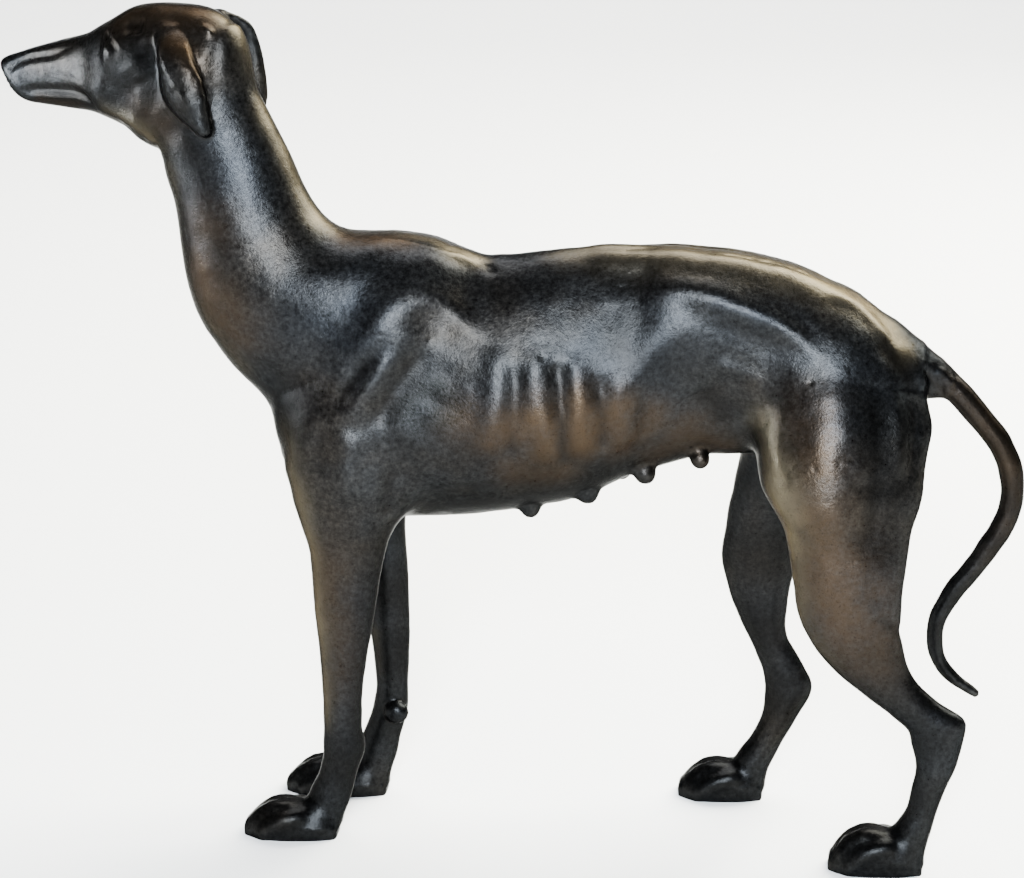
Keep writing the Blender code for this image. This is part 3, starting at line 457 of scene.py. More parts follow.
def sample(F, lo, h, P):
    """F between its grid points, and its slope."""
    g = (P - lo) / h
    i = np.clip(np.floor(g).astype(int), 0, np.array(F.shape) - 2)
    t = g - i
    x, y, z = i.T
    v = [F[x + a, y + b, z + c].astype(float) for a in (0, 1) for b in (0, 1) for c in (0, 1)]
    tx, ty, tz = t.T
    c00, c01, c10, c11 = (v[0] * (1 - tx) + v[4] * tx, v[1] * (1 - tx) + v[5] * tx, v[2] * (1 - tx) + v[6] * tx, v[3] * (1 - tx) + v[7] * tx)
    c0, c1 = c00 * (1 - ty) + c10 * ty, c01 * (1 - ty) + c11 * ty
    return c0 * (1 - tz) + c1 * tz


def settle(V, F, lo, h, rounds=2):
    """Moves each vertex onto the surface."""
    for _ in range(rounds):
        f = sample(F, lo, h, V)
        g = np.stack([(sample(F, lo, h, V + d) - sample(F, lo, h, V - d)) / (1.0 * h) for d in np.eye(3) * h * 0.5], 1)
        g2 = np.maximum((g * g).sum(1), 0.05)
        step = np.clip(f / g2, -h, h)
        V = V - g * step[:, None]
    return V


def relax(V, quads, share=0.5, rounds=1):
    """Evens out the spacing of the vertices."""
    pairs = np.vstack([quads[:, [0, 1]], quads[:, [1, 2]], quads[:, [2, 3]], quads[:, [3, 0]]])
    pairs = np.unique(np.sort(pairs, axis=1), axis=0)
    for _ in range(rounds):
        tot = np.zeros_like(V)
        cnt = np.zeros(len(V))
        for a, b in ((0, 1), (1, 0)):
            for d in range(3):
                tot[:, d] += np.bincount(pairs[:, a], weights=V[pairs[:, b], d], minlength=len(V))
            cnt += np.bincount(pairs[:, a], minlength=len(V))
        V = V + share * (tot / cnt[:, None] - V)
    return V


YAW = math.radians(20)
PIVOT = -96.0


def head(x, y, z):
    """A point of the head, given in the head's own upright plane, set into the turned pose."""
    c, s = math.cos(YAW), math.sin(YAW)
    return (PIVOT + (x - PIVOT) * c + y * s, -(x - PIVOT) * s + y * c, z)


def rib(x0, z0, x1, z1, y, half, **more):
    y0, y1 = y if isinstance(y, tuple) else (y, y)
    return ((x0, y0, z0), (x1, y1, z1), half, more)


# x and z of the lower and the upper edge, y of the middle, half width
SPINE = [
    rib(-114, 237, -89.5, 274.5, (4.5, -2.0), 12.5),
    rib(-114, 228.5, -86, 262, (3.5, -1.6), 13.5),
    rib(-110.8, 215.5, -79.8, 248.5, (2.0, -1.0), 14.5),
    rib(-109.4, 203, -73.2, 235, (1.0, -.5), 16),
    rib(-107.6, 190, -66.4, 219.5, 0, 18),
    rib(-104.6, 180, -57.6, 210, 0, 20),
    rib(-94.6, 164, -38.5, 208.8, 0, 22.5),
    rib(-81, 148.5, -24, 206.5, 0, 24.5),
    rib(-76, 128, -14, 203.2, 0, 26, wide=0.47, q=1.9),
    rib(-62, 112, -6, 201.8, 0, 27.8, wide=0.45, p=1.9, q=1.8),
    rib(-37.5, 111.5, 3, 202.7, 0, 28.8, wide=0.43, p=1.9, q=1.7),
    rib(-12, 113.3, 14, 204.3, 0, 28.5, wide=0.42, p=1.9, q=1.7),
    rib(12, 117.5, 28, 206, 0, 26.5, wide=0.41, p=1.9, q=1.6),
    rib(35, 126, 42.5, 206.3, 0, 23.3, wide=0.46, p=1.9, q=1.6),
    rib(52, 132.5, 54.5, 206.3, 0, 20.3, wide=0.64, q=1.8),
    rib(68, 136.5, 67.5, 205.5, 0, 19.5, wide=0.72, p=1.9, q=1.8),
    rib(84, 138, 81.5, 203.6, 0, 19.5, wide=0.70, p=1.9, q=1.8),
    rib(98, 141, 94.5, 200, 0, 18.5, wide=0.62, q=1.9),
    rib(111, 147, 107.5, 194.3, 0, 14.5, wide=0.5),
    rib(123, 153, 121, 186.2, 0, 10, wide=0.5),
    rib(132, 157, 133, 176.5, 0, 7.5, wide=0.5),
]
TWIST = (18, 15, 11, 7, 3)  # degrees each of the first ribs is turned with the head

HEAD = [  # x, lower z, upper z, half width, how square, lean of the section
    (-178.6, 251.4, 257.4, 2.6, 2.4, 2.0),
    (-177.0, 247.5, 258.8, 4.2, 2.5, 2.4),
    (-172.8, 245.3, 260.6, 5.4, 2.7, 2.2),
    (-164.5, 244.7, 263.6, 6.2, 3.2, 1.2),
    (-154, 244.4, 266.8, 7.3, 3.3, 1.0),
    (-144, 244.0, 270.0, 8.7, 3.0, 0),
    (-135, 242.3, 274.8, 11.8, 2.7, 0),
    (-128.5, 239.8, 278.6, 13.3, 2.4, 0),
    (-121.5, 234.8, 280.8, 13.9, 2.2, 0),
    (-110, 232.5, 281.7, 14.3, 2.1, 0),
    (-101, 237.5, 281.4, 14.0, 2.0, 0),
    (-94, 246, 279.0, 11.6, 2.0, 0),
    (-90.5, 252, 275.5, 8.6, 2.0, 0),
]

LEGS = {
    "left_fore": dict(ribs=[
        rib(-72, 131, -33, 126, -17.5, 9),
        rib(-70.3, 118, -38, 113.5, -17.5, 8.8),
        rib(-66.3, 103.5, -41.2, 101, -17, 7.6),
        rib(-65.4, 91, -43.5, 88.5, -16.8, 6.9),
        rib(-64.6, 76.5, -45.7, 75, -16.6, 6.2),
        rib(-63.4, 64, -47.7, 64, -16.5, 5.7),
        rib(-63, 52, -49.2, 51.5, -16.5, 5.4),
        rib(-62.8, 40.5, -49.8, 40, -16.5, 5.6),
        rib(-63, 32, -48.5, 33, -16.5, 5.6),
        rib(-64.3, 24, -51.5, 23, -16.5, 5.3),
        rib(-68.5, 14, -54.6, 11.5, -16.5, 6.0),
        rib(-71, 6.5, -57.2, 4.5, -16.5, 6.6),
    ], paw=(-90.4, -58.4, -18.2, 12.4)),
    "right_fore": dict(ribs=[
        rib(-60, 131, -30, 128.5, 15, 9),
        rib(-56, 118, -35.5, 115, 15, 8.4),
        rib(-54, 105, -38.5, 103, 14.5, 7.4),
        rib(-53.2, 93, -38, 90.5, 14.7, 6.6),
        rib(-52.5, 78.5, -37.5, 77.5, 15, 6.0),
        rib(-51.8, 66, -37.5, 66, 15.5, 5.6),
        rib(-50.4, 53.5, -37.8, 53, 16, 5.4),
        rib(-49.6, 42, -38.3, 41.5, 16.5, 5.5),
        rib(-51.0, 33.5, -38.6, 33, 17, 5.5),
        rib(-54, 24.5, -41.2, 22.8, 17.5, 5.3),
        rib(-57.5, 15.5, -43.6, 12.5, 18, 6.0),
        rib(-60.5, 6, -46.6, 4.5, 18, 6.6),
    ], paw=(-82.3, -46.6, 18, 12.2)),
    "left_hind": dict(ribs=[
        rib(97, 172, 131, 164, -9, 10, wide=.36, q=1.7),
        rib(90, 154, 137, 150, -15, 13.4, wide=.36, q=1.6),
        rib(84.5, 134.5, 135.4, 133.5, -20.5, 13.0, wide=.40, q=1.65),
        rib(91.5, 119, 132, 118.5, -24, 10.8, wide=.40, q=1.7),
        rib(94.3, 104, 130.5, 105.5, -27, 8.8, wide=.42, q=1.8),
        rib(96.4, 92, 129.8, 96.5, -28, 7.4),
        rib(102, 80.5, 130, 87.5, -28.3, 6.5),
        rib(110.2, 71.2, 132.0, 77, -28.1, 5.8),
        rib(119.0, 63.7, 135.4, 69.4, -27.5, 5.2),
        rib(127.4, 57.2, 142.6, 62.2, -27, 4.9),
        rib(134.5, 49.5, 152.7, 54.5, -27, 4.8),
        rib(136.8, 40, 150.7, 41.5, -26.5, 4.7),
        rib(135.8, 30, 147, 30, -26, 4.7),
        rib(134.5, 22.5, 144.5, 21.5, -25.5, 5.0),
        rib(130.5, 14.5, 142, 10.5, -25, 6.0),
        rib(127.5, 7.5, 139.5, 5, -25, 6.6),
    ], paw=(109.6, 140.6, -24.5, 14.8)),
    "right_hind": dict(ribs=[
        rib(88, 170, 124, 164, 9, 10, wide=.36, q=1.7),
        rib(80, 152, 120, 149, 15, 13.4, wide=.36, q=1.6),
        rib(76.6, 134.5, 114, 135, 19.8, 13.0, wide=.40, q=1.65),
        rib(73.8, 119, 108.5, 121, 22.5, 10.8, wide=.40, q=1.7),
        rib(71.4, 104, 102.5, 109, 24.5, 8.8, wide=.42, q=1.8),
        rib(70, 92, 97.6, 97, 25.5, 7.2),
        rib(72.5, 79.5, 95.2, 85.5, 26.5, 6.2),
        rib(77, 67, 93.2, 73, 27, 5.5),
        rib(82, 56.5, 93.7, 61, 27.5, 5.0),
        rib(85.3, 48, 99.8, 49.8, 27.5, 4.8),
        rib(86.3, 40.0, 102.9, 42.5, 27.5, 4.7),
        rib(85.3, 30.5, 97.7, 30.5, 27.5, 4.7),
        rib(82, 23, 93.5, 22, 27.5, 5.0),
        rib(77, 15, 89.5, 13, 27.8, 6.0),
        rib(74, 7.5, 86.5, 5, 28, 6.6),
    ], paw=(57.0, 86.2, 27.9, 12.9)),
}

TAIL = [(122, 178, 5.6), (131, 171.5, 5.0), (140, 165, 4.5), (146, 160, 4.3), (151.5, 154, 4.2), (155.8, 149, 4.1),
    (159.8, 144, 4.1), (162.3, 139.5, 4.0), (164.3, 134.5, 4.0), (165.3, 128, 3.9), (165.2, 123, 3.9), (164.2, 118, 3.8),
    (162, 112.5, 3.8), (159, 107.5, 3.7), (155.5, 101.5, 3.6), (151.7, 96, 3.5), (148, 90.8, 3.4), (145.2, 85.5, 3.2),
    (143.2, 80.5, 3.0), (142.6, 74.5, 2.8), (143.3, 68.5, 2.6), (145.7, 63.7, 2.4), (149.7, 59.3, 2.1), (154, 56.3, 1.9),
    (157, 54.3, 1.6)]


def paw(tip, heel, y, top):
    """A low flat-soled paw with four arched toes over it. It reaches below the ground and is cut level there."""
    n = heel - tip
    body = [((tip + n * s, y, -3.5), (tip + n * s, y, top * z), w, dict(p=3.2, q=2.1, wide=.45)) for s, z, w in (
        (.03, .40, 4.6), (.10, .60, 6.4), (.24, .80, 8.2), (.42, .92, 8.8), (.60, .92, 8.3), (.80, .84, 7.4), (.96, .52, 5.6))]
    out = [(Loft(body, step=2.0, caps=(.25, .25)), 4.0)]
    for oy, back, r, up in ((-6.3, 4.4, 3.2, .86), (-2.4, 0.0, 3.6, 1.0), (2.4, 0.5, 3.6, 1.0), (6.3, 5.0, 3.2, .86)):
        t = tip + back
        out.append((Rod([(tip + 21, y + oy * .62, top * .72 - r * .6), (t + 13.5, y + oy * .9, top * up - r),
                         (t + 7.5, y + oy, top * up * .84 - r), (t + r * .85, y + oy * .98, r * .62)],
                        [r, r + .2, r, r * .86]), 1.5))
    return out


# Leading edge and trailing edge of each ear (x, out from the middle of the head, z), half its thickness,
# and where along it the fold stands highest
NEAR_EAR = [
    ((-112.6, 9.2, 274.4), (-104.2, 9.2, 275.2), 2.4, .40),
    ((-111.2, 11.2, 272.0), (-100.1, 11.4, 272.8), 3.2, .34),
    ((-109.4, 13.2, 268.7), (-97.4, 13.8, 269.3), 3.9, .32),
    ((-108.4, 14.4, 264.2), (-95.0, 15.0, 265.6), 4.3, .40),
    ((-107.6, 14.9, 259.5), (-92.4, 15.4, 261.0), 4.3, .50),
    ((-106.6, 15.0, 254.7), (-91.0, 15.4, 255.5), 4.2, .58),
    ((-104.0, 15.0, 250.6), (-90.4, 15.2, 251.0), 3.9, .62),
    ((-99.8, 14.9, 246.9), (-90.0, 15.0, 247.6), 3.4, .62),
    ((-95.0, 14.6, 243.6), (-89.8, 14.6, 244.6), 2.8, .60),
]
FAR_EAR = [
    ((-103, 7.5, 277.6), (-96.0, 7.5, 278.8), 2.0, .5),
    ((-104, 10.5, 275.2), (-92.8, 10.5, 277.0), 2.8, .5),
    ((-104, 13.0, 272.0), (-90.2, 13.0, 274.2), 3.4, .5),
    ((-103.5, 14.4, 267.5), (-88.8, 15.0, 268.6), 3.8, .5),
    ((-102.5, 14.7, 261.0), (-87.4, 15.4, 261.6), 3.8, .55),
    ((-101, 14.8, 254.7), (-86.3, 15.2, 255.0), 3.6, .6),
    ((-97.5, 14.8, 250.6), (-85.9, 14.9, 251.0), 3.2, .6),
    ((-92, 14.5, 247.6), (-86.4, 14.5, 248.4), 2.6, .6),
]

LOIN = ((30, 1.2, 203.6), (44, 3.2, 204.6), (58, 4.6, 204.7), (72, 5.2, 203.2), (86, 5.2, 200.6), (98, 4.6, 196.4), (109, 3.2, 190.6))  # x, half width, top
TEATS = ((7, 0.8), (26, 0.9), (45, 0.9), (63, 0.8))  # x of the near row and size

# Relief drawn on the sides of the body: width, height, points (x, z)
BODY_LINES = [
    ((4.6, 5.6, 5.6, 4.6, 3.4), (1.0, 1.9, 1.7, 1.5, .7), [(-49, 166.9), (-45.3, 174.4), (-41.8, 180.5), (-37.4, 186.6), (-31.2, 190.2), (-25.1, 191.4),
                                   (-19.5, 189), (-14.6, 184.8), (-9.5, 181.2), (-4, 177.4)]),                        # arch over the shoulder blade
    (3.8, (-.5, -1.2, -.9), [(-36.5, 182.5), (-40.4, 177), (-45.4, 170), (-51.1, 161), (-54.3, 154.5)]),
    ((5.4, 5.2, 4.6), (.7, 1.4, 1.2), [(-27, 187), (-31.3, 182.3), (-35.6, 176.4), (-39.9, 170), (-44.7, 163.2), (-49.5, 155.9), (-54.5, 147.5)]),  # its spine
    (3.8, (-.5, -1.4, -1.0), [(-24, 179.5), (-28.8, 172.5), (-33.7, 165.3), (-38.7, 157.2), (-44.5, 148)]),                      # hollow behind the blade
    (11.0, (-.6, -1.2, -.5), [(-16, 175), (-21, 166), (-26, 157), (-32, 147)]),
    (3.0, -.7, [(-59.1, 152.4), (-60, 142), (-59.4, 132.1)]),
    (5.0, 1.3, [(-49.1, 150.4), (-50.9, 136.8), (-51.7, 121.9)]),
    (2.8, -1.6, [(-36.5, 138), (-37.8, 126), (-38.8, 117)]),
    (4.3, 1.0, [(-2.5, 181), (-2.2, 165), (-3.5, 154), (-6, 138)]),                    # ribs and the grooves between
    (3.0, -.8, [(3.4, 174), (4.2, 164.6), (3.2, 151), (1, 135)]),
    (4.3, 1.1, [(10.4, 180), (10.6, 168), (12.1, 156), (13.8, 144.6), (12.9, 134)]),
    (3.0, -.9, [(16.2, 174), (17.9, 168), (19.1, 154), (19.2, 143), (18.5, 131)]),
    (4.2, 1.0, [(21.6, 179), (23.3, 168), (24.9, 157.4), (24.7, 147.5), (23.6, 138)]),
    (2.8, -.9, [(30.2, 171), (31.5, 161), (31.8, 150), (30.7, 140)]),
    (4.2, 0.7, [(36.5, 171), (38.5, 160), (39, 150), (37.8, 141)]),
    (2.6, -0.5, [(43.6, 166), (45.2, 157), (44.5, 145)]),
    ((6.0, 5.0, 3.4, 2.4), (1.0, 1.9, 1.6, 1.1), [(37.4, 185.8), (42.3, 191), (47.2, 194.3), (52.9, 195.8), (60.2, 195.4), (66.7, 194), (74.8, 191.4), (81.9, 188.6), (87.7, 186), (92.9, 183), (96.8, 179.9), (101, 175.6)]),  # hip bone
    (5.5, -.7, [(52.5, 188.5), (60.4, 188.5), (68.5, 186.5), (76.6, 183.4), (84.7, 179.4), (91.8, 174.5)]),
    (2.6, 0.8, [(66, 172), (76, 170), (83, 166)]),
    (2.0, 0.6, [(67, 153), (73, 154), (79, 155)]),
    (8.0, -1.2, [(62, 165), (68, 158), (74, 150)]),
    (2.6, 0.9, [(101, 195), (108, 192.2), (114.5, 188), (120.2, 182.6), (125, 176), (128, 170)]),   # upper edge of the croup
    (4.2, -1.2, [(118, 182), (124, 176), (129.5, 169), (131, 160)]),
    (1.6, 0.6, [(-42.5, 208.1), (-32.7, 207.0), (-22.8, 204.6), (-14.9, 202), (-9.5, 199.6)]),      # crest of the withers
    (1.5, -0.9, [(-10, 203.4), (-7, 200.5), (-5.5, 197.5)]),
]

# Relief on the near hind leg; the far one carries it moved forward
THIGH_LINES = [
    (5.2, .7, [(91, 164.4), (88.7, 156.5), (87, 149.2), (89.4, 143), (92.3, 134.6), (94, 120.7), (95.3, 110.3)]),
    (9.5, 1.2, [(104.5, 175), (105.6, 161.4), (105.8, 146.3), (105.5, 126.7), (104.5, 110)]),
    (5.2, -1.2, [(117.2, 174), (119, 157.9), (119.8, 142.7), (118.9, 126.7), (117.2, 113)]),
    (2.4, 0.8, [(125, 168), (127, 154.9), (127.5, 139)]),
    (1.8, -0.8, [(130.4, 165), (131.7, 150.8), (131, 135.4)]),
    (2.0, -0.7, [(121, 104), (126, 92), (134, 77), (144, 62)]),
]

# Relief on the head, in its own plane
HEAD_LINES = [
    (1.15, (-.8, -1.0, -.7), [(-176, 254.4), (-174, 255.8), (-171.4, 257.9), (-168.2, 259.4), (-163.1, 260.9), (-155.4, 262.5), (-150.5, 264.5), (-144, 267.4)]),
    (1.5, .3, [(-168.5, 261.2), (-160, 263.2), (-151, 265.8)]),
    (1.25, -1.3, [(-171.5, 248.4), (-166, 249.5), (-161.5, 250.3), (-152.6, 251), (-147.8, 251.3), (-142.3, 250.5), (-139.2, 249.1), (-136.5, 247.6)]),
    (6.5, 1.2, [(-133, 266.5), (-125, 267.5), (-114, 268.5)]),                        # the cheek falls away below the eye
    (8.5, -.9, [(-134, 254), (-126, 252), (-117, 250)]),
    (1.2, 1.1, [(-129.1, 274.0), (-126.9, 271.5), (-124.6, 269.2), (-121.8, 268.2)]),   # eyelid
    (1.2, -1.2, [(-131.2, 272.6), (-129, 270.3), (-126.6, 267.9), (-124.6, 266.8)]),
    (1.9, .6, [(-130.6, 268.6), (-128.2, 266.6), (-126.4, 265.2)]),                   # eye
    (3.0, -1.6, [(-124.7, 274.6), (-121.2, 275), (-116.6, 275.6)]),                    # hollow over the eye
    (1.3, .8, [(-122.2, 270.9), (-119.1, 271.2), (-116, 272), (-112.4, 273.8)]),
    (5.5, .6, [(-119, 265), (-115, 258)]),
    (2.4, .8, [(-137.5, 247.5), (-129.5, 245.8), (-122.2, 243.4), (-116.5, 239.5)]),
]


def side_line(F, points, side, dx=0.0):
    P = [F.drop((x + dx, 0, z), (0, side, 0)) for x, z in points]
    return [p for p in P if p is not None]


def head_line(F, points, side):
    way = np.array(head(0, side, 0)) - np.array(head(0, 0, 0))
    P = [F.drop(head(x, 0, z), way) for x, z in points]
    return [p for p in P if p is not None]


def sculpture():
    F = Field()
    across = np.repeat(np.array([[0.0, 1.0, 0.0]]), len(SPINE), 0)
    for i, t in enumerate(TWIST):
        across[i] = (math.sin(math.radians(t)), math.cos(math.radians(t)), 0)
    F.add(Loft(SPINE, step=3.0, caps=(.3, .3), across=across))
    hd = [(head(x + n, 0, a), head(x - n, 0, b), w, dict(p=e, q=e, wide=.45)) for x, a, b, w, e, n in HEAD]
    lateral = np.array(head(0, 1, 0)) - np.array(head(0, 0, 0))
    F.add(Loft(hd, step=2.5, caps=(.15, .5), across=tuple(lateral)), 5)
    for side in (-1, 1):
        F.add(Egg((-39, side * 15.5, 174), (31, 13, 8.5), (-.5, side * .2, -.84), (.86, 0, -.5)), 8)    # shoulder blade
        F.add(Egg((-61, side * 13, 147), (14, 15, 10.5), (0.4, 0, -.9), (.9, 0, .4)), 8)                # point of the shoulder
        F.add(Egg((-51, side * 18.5, 137), (22, 15.5, 9), (.45, 0, -.89), (.89, 0, .45)), 8)            # upper arm
        F.add(Egg((102.5, side * 13.2, 155), (31, 20, 12.5), (-.12, -side * .30, 1), (1, 0, .2)), 12)              # haunch
    for name, leg in LEGS.items():
        F.add(Loft(leg["ribs"], step=2.5, caps=(.9, .2)), 9 if "fore" in name else 13)
    for side in (-1, 1):
        F.add(Rod([(x, side * w, z - 4.2) for x, w, z in LOIN], [4.4] * len(LOIN)), 4)                  # flat top of the loin
    for name, leg in LEGS.items():
        for s, k in paw(*leg["paw"]):
            F.add(s, k)
    F.add(Egg((-41.9, 11.2, 33.2), (4.3, 3.3, 4.2)), 1.0)
    F.add(Rod([(x, 0, z) for x, z, r in TAIL], [r for *_, r in TAIL]), 3)
    F.add(Egg((136, 0, 165.5), (8.5, 5.6, 6.5), (.75, 0, -.66), (0, 1, 0)), 3)
    body = [(Stroke(side_line(F, pts, s), w, h)) for w, h, pts in BODY_LINES for s in (-1, 1)]
    body += [Stroke(side_line(F, pts, -1), w, h) for w, h, pts in THIGH_LINES]
    body += [Stroke(side_line(F, [(x - 14 * max(0, 1 - max(z - 100, 0) / 90) - 4, z) for x, z in pts], 1), w, h) for w, h, pts in THIGH_LINES[:-1]]
    body += [Stroke(head_line(F, pts, s), w, h) for w, h, pts in HEAD_LINES for s in (-1, 1)]
    for s in body:
        F.draw(s)
    for side, table in ((-1, NEAR_EAR), (1, FAR_EAR)):
        F.add(Loft([(head(a[0], side * a[1], a[2]), head(b[0], side * b[1], b[2]), half, dict(p=1.6, q=1.7, wide=fold))
                    for a, b, half, fold in table], step=1.5, caps=(.5, .9), across=tuple(lateral * side)), 2.0)
    for x, s in TEATS:
        for side in (-1, 1):
            xx = x if side < 0 else x - 9
            z = float(np.interp(xx, [-12, 12, 35, 52, 68, 84], [113, 117.5, 126, 133, 137, 138]))
            F.add(Egg((xx, side * 7.5, z + .8), (4.0 * s, 3.6 * s, 4.0 * s)), 3.0)
    fine_detail(F)
    return F


LO, HI = (-184, -42, -5), (176, 46, 289)



class Skin:
    """The uneven skin of a sand casting: smooth seeded noise of one grain size, all over or in one patch."""

    def __init__(self, height, cell, seed, patch=None):
        self.height, self.cell = height, cell
        self.table = np.random.RandomState(seed).uniform(-1, 1, (32, 32, 32))
        self.patch = patch
        if patch is None:
            self.lo, self.hi = np.full(3, -1e6), np.full(3, 1e6)
        else:
            c, r = np.array(patch[0], float), patch[1]
            self.lo, self.hi = c - 2 * r, c + 2 * r

    def __call__(self, P):
        g = P / self.cell + 1000.0
        i = np.floor(g).astype(int)
        t = g - i
        t = t * t * (3 - 2 * t)
        i &= 31
        j = (i + 1) & 31
        x, y, z = t.T
        T = self.table
        a = T[i[:, 0], i[:, 1], i[:, 2]] * (1 - x) + T[j[:, 0], i[:, 1], i[:, 2]] * x
        b = T[i[:, 0], j[:, 1], i[:, 2]] * (1 - x) + T[j[:, 0], j[:, 1], i[:, 2]] * x
        c = T[i[:, 0], i[:, 1], j[:, 2]] * (1 - x) + T[j[:, 0], i[:, 1], j[:, 2]] * x
        d = T[i[:, 0], j[:, 1], j[:, 2]] * (1 - x) + T[j[:, 0], j[:, 1], j[:, 2]] * x
        v = (a * (1 - y) + b * y) * (1 - z) + (c * (1 - y) + d * y) * z
        if self.patch is not None:
            q = ((P - np.array(self.patch[0], float)) ** 2).sum(1) / self.patch[1] ** 2
            v = v * np.exp(-q)
        return self.height * v


PITS = [  # x, side, z, width, depth of the larger casting pits
    (-39, -1, 181, .9, .9), (-2, -1, 168, .9, .8), (12, -1, 175, 1.0, .8), (108, -1, 145, .9, .8), (112, -1, 146, .8, .7),
    (104, -1, 133, .9, .8), (93, -1, 113, 1.0, .8), (111, -1, 164, .8, .6), (107, -1, 155, .7, .6), (100, -1, 143, .7, .6),
    (106, -1, 123, .8, .6), (43, -1, 193, .8, .6), (116, -1, 177, .8, .7), (-94, -1, 262, .8, .7), (-87, -1, 266, .8, .6),
]
ROUGH = [  # places where the skin is coarse: point, radius, height, grain
    ((-123, -3, 242), 4.5, .9, 1.7), ((-117, -1, 237), 5, 1.0, 1.7), ((140, -3, 166), 7, .8, 2.1), ((-45, 0, 209), 11, .35, 2.0),
    ((-20, -3, 206), 8, .35, 1.8), ((-103, -15, 264), 7, .6, 1.6), ((-99, -17, 255), 7, .6, 1.6), ((-95, -16, 249), 5, .5, 1.6),
    ((-158, 15, 256), 5, .35, 1.5), ((-80, -19, 12), 8, .7, 1.9), ((-74, 17, 11), 8, .7, 1.9), ((114, -26, 11), 8, .6, 1.9), ((64, 27, 11), 8, .6, 1.9), ((-42, 9, 33), 5, .5, 1.8), ((80, 0, 204), 14, .25, 1.9), ((50, 0, 206), 14, .25, 1.9), ((-86, 8, 262), 8, .4, 1.8),
]


def fine_detail(F):
    """The small carving and the faults of the casting, over the same form as the solid's."""
    marks = []
    for x, side, z, w, d in PITS:
        p = F.drop((x, 0, z), (0, side, 0))
        if p is not None:
            marks.append(Stroke([p, p + (.01, 0, 0)], w * .8, -d * .6, fade=0))
    lucky = np.random.RandomState(7)
    for _ in range(46):
        x, z, side = lucky.uniform(-95, 128), lucky.uniform(120, 200), lucky.choice((-1, 1))
        p = F.drop((x, 0, z), (0, side, 0))
        if p is not None:
            marks.append(Stroke([p, p + (.01, 0, 0)], lucky.uniform(.55, .8), -lucky.uniform(.3, .55), fade=0))
    # hairline cracks along the flat of the loin
    for y, xs in ((-2.6, (20, 36, 52, 66)), (-4.4, (58, 74, 90, 100)), (1.5, (40, 58, 80)), (4.0, (66, 84, 104))):
        pts = [F.drop((x, y + .5 * math.sin(x), 150), (0, 0, 1)) for x in xs]
        marks.append(Stroke(pts, .7, -.45))
    # a bead behind the root of the near ear, and the folds of the tail root
    marks.append(Stroke([(-97.5, -8.5, 276.5), (-96.0, -8.8, 275.2)], 1.5, 1.3, fade=0))
    marks.append(Stroke([F.drop((x, 0, z), (0, -1, 0)) for x, z in ((133, 171), (138, 165), (141, 160))], 1.2, -1.0))
    marks.append(Stroke([F.drop((x, 0, z), (0, -1, 0)) for x, z in ((140, 168), (143.5, 164.5))], 1.3, .9, fade=0))
    for m in marks:
        F.draw(m)
    for p, r, h, cell in ROUGH:
        F.draw(Skin(h * .5, cell, int(r * 10), (p, r)))
    F.draw(Skin(.16, 5.5, 11))
    F.draw(Skin(.05, 2.3, 12))


# where the patina is brown; where a warm reflection and highlight are painted in light tan; and where shade is painted
# near-black: point, radius, strength
WARM = [
    ((-52, -4, 209), 6, .6), ((-44, -4, 209), 6, .8), ((-36, -4, 208), 6, .7),
    ((-11, -29, 154), 9, .5), ((-3, -30, 150), 8, .8), ((13, -28, 156), 8, .8), ((14, -27, 142), 8, .7), ((25, -27, 160), 7, .8),
    ((25, -25, 146), 8, .8), ((37, -24, 158), 7, .7), ((38, -20, 145), 8, .6), ((47, -19, 153), 8, .5), ((4, -25, 137), 8, .5),
    ((18, -21, 136), 8, .5), ((60, -14, 145), 10, .6), ((69, -9, 140), 8, .5), ((50, -13, 139), 8, .5),
    ((97, -28, 158), 10, .6), ((98, -32, 146), 12, .65), ((99, -33, 134), 12, .65), ((100, -33, 122), 13, .7), ((103, -33, 110), 14, .7), ((108, -33, 99), 14, .65),
    ((114, -33, 90), 13, .6), ((121, -33, 80), 12, .5), ((112, -34, 114), 13, .5), ((116, -33, 102), 12, .5),
    ((-128, 3, 276), 7, .6), ((-121, 3, 279), 8, .8), ((-114, 0, 280), 8, .8), ((-105, -3, 279), 8, .7), ((-98, -4, 279), 8, .6),
    ((-120, -6, 249), 7, .4), ((-112, -9, 246), 7, .5),
    ((-101, -14, 198), 9, .6), ((-96, -16, 189), 9, .6), ((-89, -17, 179), 9, .5), ((-98, -15, 212), 9, .5), 
    ((-60, -22, 103), 9, .35), ((-59, -22, 92), 9, .35), ((-58, -22, 81), 9, .35), ((-57, -22, 70), 9, .3), ((-57, -22, 59), 9, .3), ((-160, 17, 246), 2.6, .6), ((-152, 13, 246), 2.6, .6), ((-144, 9, 246), 2.8, .7),
    ((-108, -12, 272), 5, .9), ((-102, -14, 270), 5, .9), ((-96, -17, 262), 4, .6),
    ((148, -4, 160), 8, .5), ((155, -4, 152), 8, .6), ((162, -4, 139), 8, .6), ((165, -4, 125), 8, .5), ((162, -3, 109), 8, .4),
    ((13, 27, 156), 16, .7), ((40, 22, 150), 14, .6), ((-95, 16, 189), 14, .5), ((97, 30, 130), 14, .5),
]
